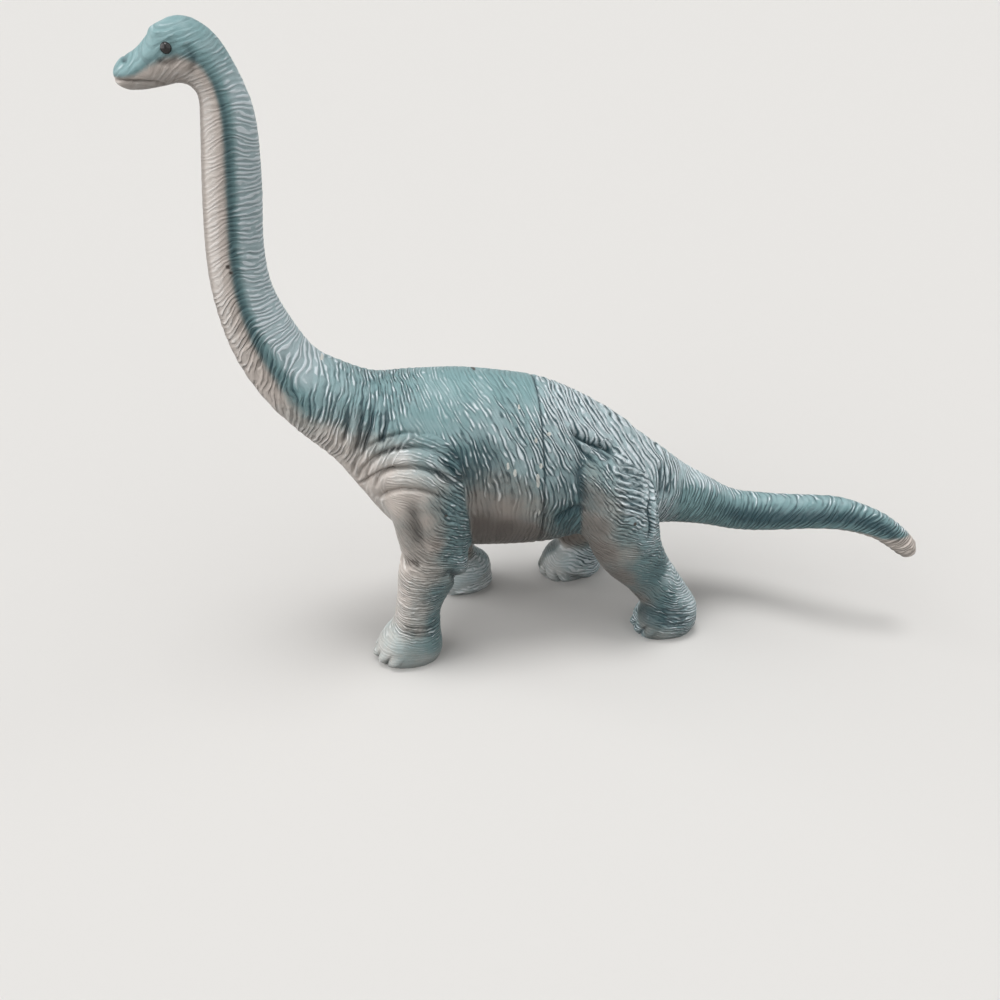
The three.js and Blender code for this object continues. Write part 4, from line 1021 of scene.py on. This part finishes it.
def newMesh(name, points, faces):
    # a mesh from arrays: faces is a list of arrays, each of faces with as many corners
    mesh = bpy.data.meshes.new(name)
    corners = np.concatenate([f.ravel() for f in faces]).astype(np.int32)
    sizes = np.concatenate([np.full(len(f), f.shape[1]) for f in faces])
    mesh.vertices.add(len(points))
    mesh.vertices.foreach_set("co", toFrame(points).astype(np.float32).ravel())
    mesh.loops.add(len(corners))
    mesh.loops.foreach_set("vertex_index", corners)
    mesh.polygons.add(len(sizes))
    mesh.polygons.foreach_set("loop_start", np.concatenate([[0], np.cumsum(sizes)[:-1]]).astype(np.int32))
    mesh.update(calc_edges=True)
    mesh.validate()
    mesh.shade_smooth()
    return mesh


def loopsOf(starts, ends):
    # number of the closed loop that each boundary edge belongs to
    following = dict(zip(starts.tolist(), range(len(starts))))
    loop = np.full(len(starts), -1)
    count = 0
    for first in range(len(starts)):
        at = first
        while at is not None and loop[at] < 0:
            loop[at] = count
            at = following.get(int(ends[at]))
        count += 1
    return np.unique(loop, return_inverse=True)[1]


# what the materials read at each point of the skin: darkness of airbrush and painted shade, painted shade in
# the creases, and pale brushing that is in places painted light
skinFields = {"paint": coat[0], "pale": coat[1], "airbrushAndShade": coat[2], "crease": np.clip(shade, 0, 1),
              "wave": wave, "depth": depth, "chip": chip, "speck": speck}


def moulding(k, name):
    # the faces of one piece. Its edges turn in by a lip, and a fan of triangles closes each opening.
    used, own = np.unique(quads[label == k], return_inverse=True)
    own = own.reshape(-1, 4)
    spots, size = points[used], len(used)
    starts, ends = own.ravel(), np.roll(own, -1, axis=1).ravel()
    onEdge = ~np.isin(ends * size + starts, starts * size + ends)
    faceMiddles = np.repeat(spots[own].mean(1), 4, axis=0)[onEdge]
    starts, ends = starts[onEdge], ends[onEdge]
    loop, rim = loopsOf(starts, ends), np.unique(starts)
    inwards = np.zeros((size, 3))
    for corner in (starts, ends):
        np.add.at(inwards, corner, faceMiddles - spots[corner])
    inwards = inwards[rim] / np.maximum(np.linalg.norm(inwards[rim], axis=1), 1e-6)[:, None]
    turned = spots[rim] - normals[used][rim] * lip["depth"] + inwards * lip["back"]
    centres = np.array([turned[np.searchsorted(rim, starts[loop == n])].mean(0)
                        for n in range(loop.max() + 1)])
    copyOf = np.full(size, -1)
    copyOf[rim] = size + np.arange(len(rim))
    lipQuads = np.stack([ends, starts, copyOf[starts], copyOf[ends]], 1)
    capFaces = np.stack([copyOf[ends], copyOf[starts], size + len(rim) + loop], 1)
    spots = np.concatenate([spots, turned, centres])
    mesh = newMesh(name, spots, [own, lipQuads, capFaces])
    # edges are told apart by both their ends in one number
    asOne = np.array([len(spots), 1])
    rimEdges = np.sort(np.stack([starts, ends], 1), 1) @ asOne
    onRim = np.isin(np.sort(readArray(mesh.edges, "vertices", 2, np.int32), 1) @ asOne, rimEdges)
    mesh.attributes.new("sharp_edge", "BOOLEAN", "EDGE").data.foreach_set("value", onRim)
    for key, field in {**skinFields, "foldCount": counts["trunk" if k < 4 else name]}.items():
        field = np.concatenate([field[used], field[used][rim], np.zeros(len(centres))])
        mesh.attributes.new(key, "FLOAT", "POINT").data.foreach_set("value", field.astype(np.float32))
    piece = addObject(name + "_vinyl", mesh)
    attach(piece, "root")
    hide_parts(name)
    print(name, len(own) * 2 + len(lipQuads) * 2 + len(capFaces), "triangles,", len(centres), "openings")
    return piece


mouldings = [moulding(k, name) for k, name in enumerate(names)]
bpy.data.meshes.remove(fineMesh)


def linear(hexColour):
    # sRGB hex to linear red, green, blue and 1
    value = np.array([int(hexColour[i:i + 2], 16) / 255 for i in (1, 3, 5)])
    value = np.where(value > 0.04045, ((value + 0.055) / 1.055) ** 2.4, value / 12.92)
    return (*value.tolist(), 1.0)


def emptyTree(owner):
    # the node tree of a material or world, cleared
    owner.use_nodes = True
    owner.node_tree.nodes.clear()
    return owner.node_tree


def addNode(tree, kind, settings={}, inputs={}):
    # a node with its settings, each input given a value or joined to a socket; gives its outputs
    node = tree.nodes.new("ShaderNode" + kind)
    for name, value in settings.items():
        setattr(node, name, value)
    for name, value in inputs.items():
        if isinstance(value, bpy.types.NodeSocket):
            tree.links.new(value, node.inputs[name])
        else:
            node.inputs[name].default_value = value
    return node.outputs


add, multiply, multiplyAdd = ({"operation": name} for name in ("ADD", "MULTIPLY", "MULTIPLY_ADD"))
maximum, smooth = {"operation": "MAXIMUM"}, {"interpolation_type": "SMOOTHSTEP"}
colours = {"data_type": "RGBA"}

vinyl = {  # colours as they look, with the two dark colours being shaded copies that airbrush and painted shade mix towards, sizes in mm
    "bare": "#e2d7ce", "bareShade": "#564e48", "teal": "#88acaf", "deepTealAndShade": "#294950",
    "pale": "#e9f5fa", "barePale": "#f2ece6", "chip": "#e4e6e0", "dirt": "#3b332c",
    "fineLines": 2.05,  # to each count of the folds
    "strand": 8.0, "stray": 1.9,  # length over which a line lives, and how far it strays, in lines
    "tremble": 2.4, "mottle": 6.0, "wear": 3.5,  # spots that shake lines, break paint and wear crests
    "grain": 0.5,  # finer on real vinyl, drawn coarser to show
    "relief": 0.6, "roughness": (0.32, 0.52),  # height of a line, and the smoothest and roughest skin
    "valleyTealAndShade": 1.1, "sprayAndPaintedShadeShare": 0.9, "hollowShade": 0.18,  # how dark each makes the skin: painted shade over the dark teal in the valleys between lines, airbrushed shading with painted shade, painted shade in the moulded hollows
    "crests": 1.65, "veil": 0.45,  # how pale the brush leaves the crests, and the skin between
}


def vinylMaterial(name, look):
    # soft PVC vinyl from a rotary mould, sprayed teal over its own pinkish grey and dry-brushed
    # pale along the crests of its fine skin lines: a satin skin
    # painted shade darkens its valleys, hollows and creases
    material = bpy.data.materials.new(name)
    tree = emptyTree(material)
    place = addNode(tree, "TexCoord")["Object"]
    read = {key: addNode(tree, "Attribute", {"attribute_name": key})["Fac"]
            for key in (*skinFields, "foldCount")}
    grain, mottle, tremble, wear = (
        addNode(tree, "TexNoise", {},
                {"Vector": place, "Scale": 1000 / look[size], "Detail": 3.0, "Roughness": 0.6})[0]
        for size in ("grain", "mottle", "tremble", "wear"))

    # fine lines: a cosine of the fold count. The count is pushed to and fro by noise that is long
    # along the lines and short across them, so that they run together and part again.
    stretched = addNode(tree, "VectorMath", {"operation": "SCALE"},
                        {0: place, "Scale": 1000 / look["strand"]})[0]
    pushed = addNode(tree, "TexNoise", {"noise_dimensions": "4D"},
                     {"Vector": stretched, "W": read["foldCount"], "Scale": 1.0, "Detail": 1.0})[0]
    turns = addNode(tree, "Math", multiply, {0: tremble, 1: 0.15})[0]
    turns = addNode(tree, "Math", multiplyAdd, {0: pushed, 1: look["stray"], 2: turns})[0]
    turns = addNode(tree, "Math", multiplyAdd, {0: read["foldCount"], 1: look["fineLines"], 2: turns})[0]
    angle = addNode(tree, "Math", multiply, {0: turns, 1: 2 * np.pi})[0]
    wavy = addNode(tree, "Math", {"operation": "COSINE"}, {0: angle})[0]
    # each line comes and goes along itself, by noise of the same kind
    fast = addNode(tree, "Math", multiply, {0: turns, 1: 0.45})[0]
    strand = addNode(tree, "TexNoise", {"noise_dimensions": "4D"},
                     {"Vector": stretched, "W": fast, "Scale": 1.6, "Detail": 1.5, "Roughness": 0.5})[0]
    start = addNode(tree, "MapRange", {}, {"Value": read["pale"], "To Min": 0.62, "To Max": 0.36})[0]
    end = addNode(tree, "Math", add, {0: start, 1: 0.16})[0]
    present = addNode(tree, "MapRange", smooth, {"Value": strand, "From Min": start, "From Max": end})[0]
    # the paler the brushing, the wider the part of each crest that it catches
    low = addNode(tree, "MapRange", {}, {"Value": read["pale"], "To Min": 0.6, "To Max": -0.1})[0]
    high = addNode(tree, "Math", add, {0: low, 1: 0.4})[0]
    crest = addNode(tree, "MapRange", smooth, {"Value": wavy, "From Min": low, "From Max": high})[0]
    # painted shade in the valleys, over the dark teal that lies in them: darkest where the folds are deep and
    # the skin is painted
    swell = addNode(tree, "MapRange", smooth,
                    {"Value": strand, "From Min": 0.36, "From Max": 0.58, "To Min": 0.2})[0]
    strength = addNode(tree, "Math", multiply, {0: swell, 1: read["depth"]})[0]
    coated = addNode(tree, "MapRange", {}, {"Value": read["paint"], "From Max": 0.8, "To Min": 0.3})[0]
    valley = addNode(tree, "MapRange", smooth, {"Value": wavy, "From Min": -0.2, "From Max": -0.9})[0]
    for factor in (strength, coated):
        valley = addNode(tree, "Math", multiply, {0: valley, 1: factor})[0]

    # darkness: airbrushed shading with painted shade, and painted shade in the creases, in the moulded
    # hollows and in the valleys between fine lines, where dark teal also lies
    airbrushAndShade = addNode(tree, "MapRange", smooth,
                   {"Value": read["wave"], "From Min": 0.1, "From Max": -0.8, "To Max": look["hollowShade"]})[0]
    airbrushAndShade = addNode(tree, "Math", multiplyAdd, {0: valley, 1: look["valleyTealAndShade"], 2: airbrushAndShade})[0]
    airbrushAndShade = addNode(tree, "Math", multiplyAdd, {0: read["airbrushAndShade"], 1: look["sprayAndPaintedShadeShare"], 2: airbrushAndShade})[0]
    airbrushAndShade = addNode(tree, "Math", {**add, "use_clamp": True}, {0: airbrushAndShade, 1: read["crease"]})[0]
    # pale dry brushing: it catches the crests of the lines and, where it is strong, a veil between
    worn = addNode(tree, "MapRange", {},
                   {"Value": wear, "From Min": 0.35, "From Max": 0.6, "To Min": 0.55})[0]
    enough = addNode(tree, "Math", {"operation": "POWER"}, {0: read["pale"], 1: 0.5})[0]
    raised = addNode(tree, "MapRange", {}, {"Value": read["depth"], "From Min": 0.05, "From Max": 0.5})[0]
    caught = crest
    for factor in (present, worn, enough, raised, look["crests"]):
        caught = addNode(tree, "Math", multiply, {0: caught, 1: factor})[0]
    veil = addNode(tree, "Math", multiplyAdd, {0: mottle, 1: 0.6, 2: read["pale"]})[0]
    veil = addNode(tree, "MapRange", {}, {"Value": veil, "From Min": 0.7, "From Max": 1.35})[0]
    between = addNode(tree, "Math", multiplyAdd, {0: valley, 1: -0.9, 2: 1.0})[0]
    veil = addNode(tree, "Math", multiply, {0: veil, 1: between})[0]
    brushed = addNode(tree, "Math", {**multiplyAdd, "use_clamp": True},
                      {0: veil, 1: look["veil"], 2: caught})[0]
    lifted = addNode(tree, "Math", {"operation": "SUBTRACT"}, {0: 1.0, 1: read["crease"]})[0]
    brushed = addNode(tree, "Math", multiply, {0: brushed, 1: lifted})[0]
    flaked = addNode(tree, "Math", add, {0: read["chip"], 1: tremble})[0]
    flaked = addNode(tree, "MapRange", {}, {"Value": flaked, "From Min": 0.95, "From Max": 1.15})[0]

    # the coats, one over another: paint broken up at its edges, darkness of airbrush and painted shade,
    # brushing, chips and dirt
    cover = addNode(tree, "Math", multiplyAdd, {0: mottle, 1: 0.35, 2: read["paint"]})[0]
    cover = addNode(tree, "Math", multiplyAdd, {0: grain, 1: 0.3, 2: cover})[0]
    cover = addNode(tree, "MapRange", smooth, {"Value": cover, "From Min": 0.4, "From Max": 1.2})[0]
    # deep: the dark colour that airbrushed darkness and painted shade mix towards
    colour, deep, palest = (
        addNode(tree, "Mix", colours, {0: cover, 6: linear(look[bare]), 7: linear(look[sprayed])})[2]
        for bare, sprayed in (("bare", "teal"), ("bareShade", "deepTealAndShade"), ("barePale", "pale")))
    for share, over in ((airbrushAndShade, deep), (brushed, palest), (flaked, linear(look["chip"])),
                        (read["speck"], linear(look["dirt"]))):
        colour = addNode(tree, "Mix", colours, {0: share, 6: colour, 7: over})[2]

    ridge = addNode(tree, "MapRange", smooth, {"Value": wavy, "From Min": -0.8, "From Max": 1.0})[0]
    strength = addNode(tree, "Math", maximum, {0: strength, 1: 0.1})[0]
    ridge = addNode(tree, "Math", multiply, {0: ridge, 1: strength})[0]
    relief = addNode(tree, "Math", multiplyAdd, {0: grain, 1: 0.1, 2: ridge})[0]
    normal = addNode(tree, "Bump", {}, {"Height": relief, "Distance": look["relief"] * metre})[0]
    smoothest, roughest = look["roughness"]
    rough = addNode(tree, "MapRange", {}, {"Value": grain, "From Min": 0.35, "From Max": 0.65,
                                           "To Min": smoothest, "To Max": roughest})[0]
    surface = addNode(tree, "BsdfPrincipled", {},
                      {"Base Color": colour, "Roughness": rough, "Normal": normal})[0]
    addNode(tree, "OutputMaterial", {}, {"Surface": surface})
    return material


bodyVinyl = vinylMaterial("sprayed_soft_vinyl_body", vinyl)
legVinyl = vinylMaterial("sprayed_soft_vinyl_legs", {**vinyl, "strand": 5.0})
for k, piece in enumerate(mouldings):
    piece.data.materials.append(bodyVinyl if k < 4 else legVinyl)


def bead(centre, radius, sides=28, rings=16):
    # points of a sphere: rings from pole to pole by the cosine of one angle, round by the other
    down = np.linspace(0, np.pi, rings + 1)[1:-1, None]
    turn = np.linspace(0, 2 * np.pi, sides, endpoint=False)
    ball = np.stack([np.sin(down) * np.cos(turn), np.sin(down) * np.sin(turn),
                     np.cos(down) * np.ones(sides)], -1).reshape(-1, 3)
    ball = np.concatenate([ball, [[0, 0, 1], [0, 0, -1]]]) * radius + centre
    r, s = np.meshgrid(np.arange(rings - 2), np.arange(sides), indexing="ij")
    a, b = r * sides + s, r * sides + (s + 1) % sides
    bands = np.stack([a, a + sides, b + sides, b], -1).reshape(-1, 4)
    s = np.arange(sides)
    last = (rings - 2) * sides
    caps = np.concatenate([np.stack([s, (s + 1) % sides, np.full(sides, len(ball) - 2)], 1),
                           np.stack([last + (s + 1) % sides, last + s, np.full(sides, len(ball) - 1)], 1)])
    return ball, bands, caps


# The eyes: a bead moulded into either side of the head
eyeX, eyeZ = headPlace(head["eye"])
eyeY = figure["headWidth"] / 2 - head["eyeRadius"] + head["eyeProud"]
left, bands, caps = bead(np.array([eyeX, -eyeY, eyeZ]), head["eyeRadius"])
right = bead(np.array([eyeX, eyeY, eyeZ]), head["eyeRadius"])[0]
faces = [np.concatenate([part, part + len(left)]) for part in (bands, caps)]
eyes = addObject("painted_eyes", newMesh("painted_eyes", np.concatenate([left, right]), faces))
gloss = bpy.data.materials.new("gloss_black_enamel")  # brushed-on enamel: dark, wet-looking dome
tree = emptyTree(gloss)
surface = addNode(tree, "BsdfPrincipled", {}, {"Base Color": linear("#1a1716"), "Roughness": 0.18})[0]
addNode(tree, "OutputMaterial", {}, {"Surface": surface})
eyes.data.materials.append(gloss)
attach(eyes, "root")
print("eyes set")


def shownRays(tree):
    # 1 for the rays that show a thing straight, in a gloss or through glass, 0 for light thrown on
    rays = addNode(tree, "LightPath")
    shown = rays["Is Camera Ray"]
    for kind in ("Is Glossy Ray", "Is Transmission Ray"):
        shown = addNode(tree, "Math", maximum, {0: shown, 1: rays[kind]})[0]
    return shown


# The floor is matt felt-like board. It shows pale, but the light it throws back up under the figure
# is that of grey felt.
board = {"reach": 4.0, "shown": "#e6e4e1", "thrown": "#55524f"}  # reach in metres
floorMesh = bpy.data.meshes.new("floor")
corners = [(x * board["reach"], y * board["reach"], 0) for x, y in ((-1, -1), (1, -1), (1, 1), (-1, 1))]
floorMesh.from_pydata(corners, [], [(0, 1, 2, 3)])
floor = addObject("floor", floorMesh)
paper = bpy.data.materials.new("matt_board")
tree = emptyTree(paper)
shown = addNode(tree, "Mix", colours,
                {0: shownRays(tree), 6: linear(board["thrown"]), 7: linear(board["shown"])})[2]
surface = addNode(tree, "BsdfDiffuse", {}, {"Color": shown})[0]
addNode(tree, "OutputMaterial", {}, {"Surface": surface})
floorMesh.materials.append(paper)

# Light: a soft lamp overhead, a very wide one on either side, and a sky brightest at its top
studio = {
    "sky": 0.32, "horizon": 0.05, "shown": 0.8,
    "lamps": {  # power, spread in degrees, where from
        "overhead": (1.0, 22, (-0.06, 0.03, 1.0)),
        "left": (2.6, 90, (-0.87, -0.22, 0.37)),
        "right": (1.1, 90, (0.8, -0.4, 0.5)),
    },
}
world = bpy.data.worlds.new("studio")
bpy.context.scene.world = world
tree = emptyTree(world)
direction = addNode(tree, "TexCoord")["Generated"]
upward = addNode(tree, "SeparateXYZ", {}, {"Vector": direction})["Z"]
sky = addNode(tree, "MapRange", {},
              {"Value": upward, "To Min": studio["horizon"], "To Max": studio["sky"]})[0]
strength = addNode(tree, "Mix", {"data_type": "FLOAT"}, {0: shownRays(tree), 2: sky, 3: studio["shown"]})[0]
surface = addNode(tree, "Background", {}, {"Strength": strength})[0]
addNode(tree, "OutputWorld", {}, {"Surface": surface})
for name, (power, spread, place) in studio["lamps"].items():
    lamp = bpy.data.lights.new(name, "SUN")
    lamp.energy, lamp.angle = power, np.radians(spread)
    lampObject = addObject(name, lamp)
    lampObject.location = place
    lampObject.rotation_euler = Vector(place).to_track_quat("Z", "Y").to_euler()
print("floor and light set")

bpy.context.scene.view_settings.view_transform = "Standard"
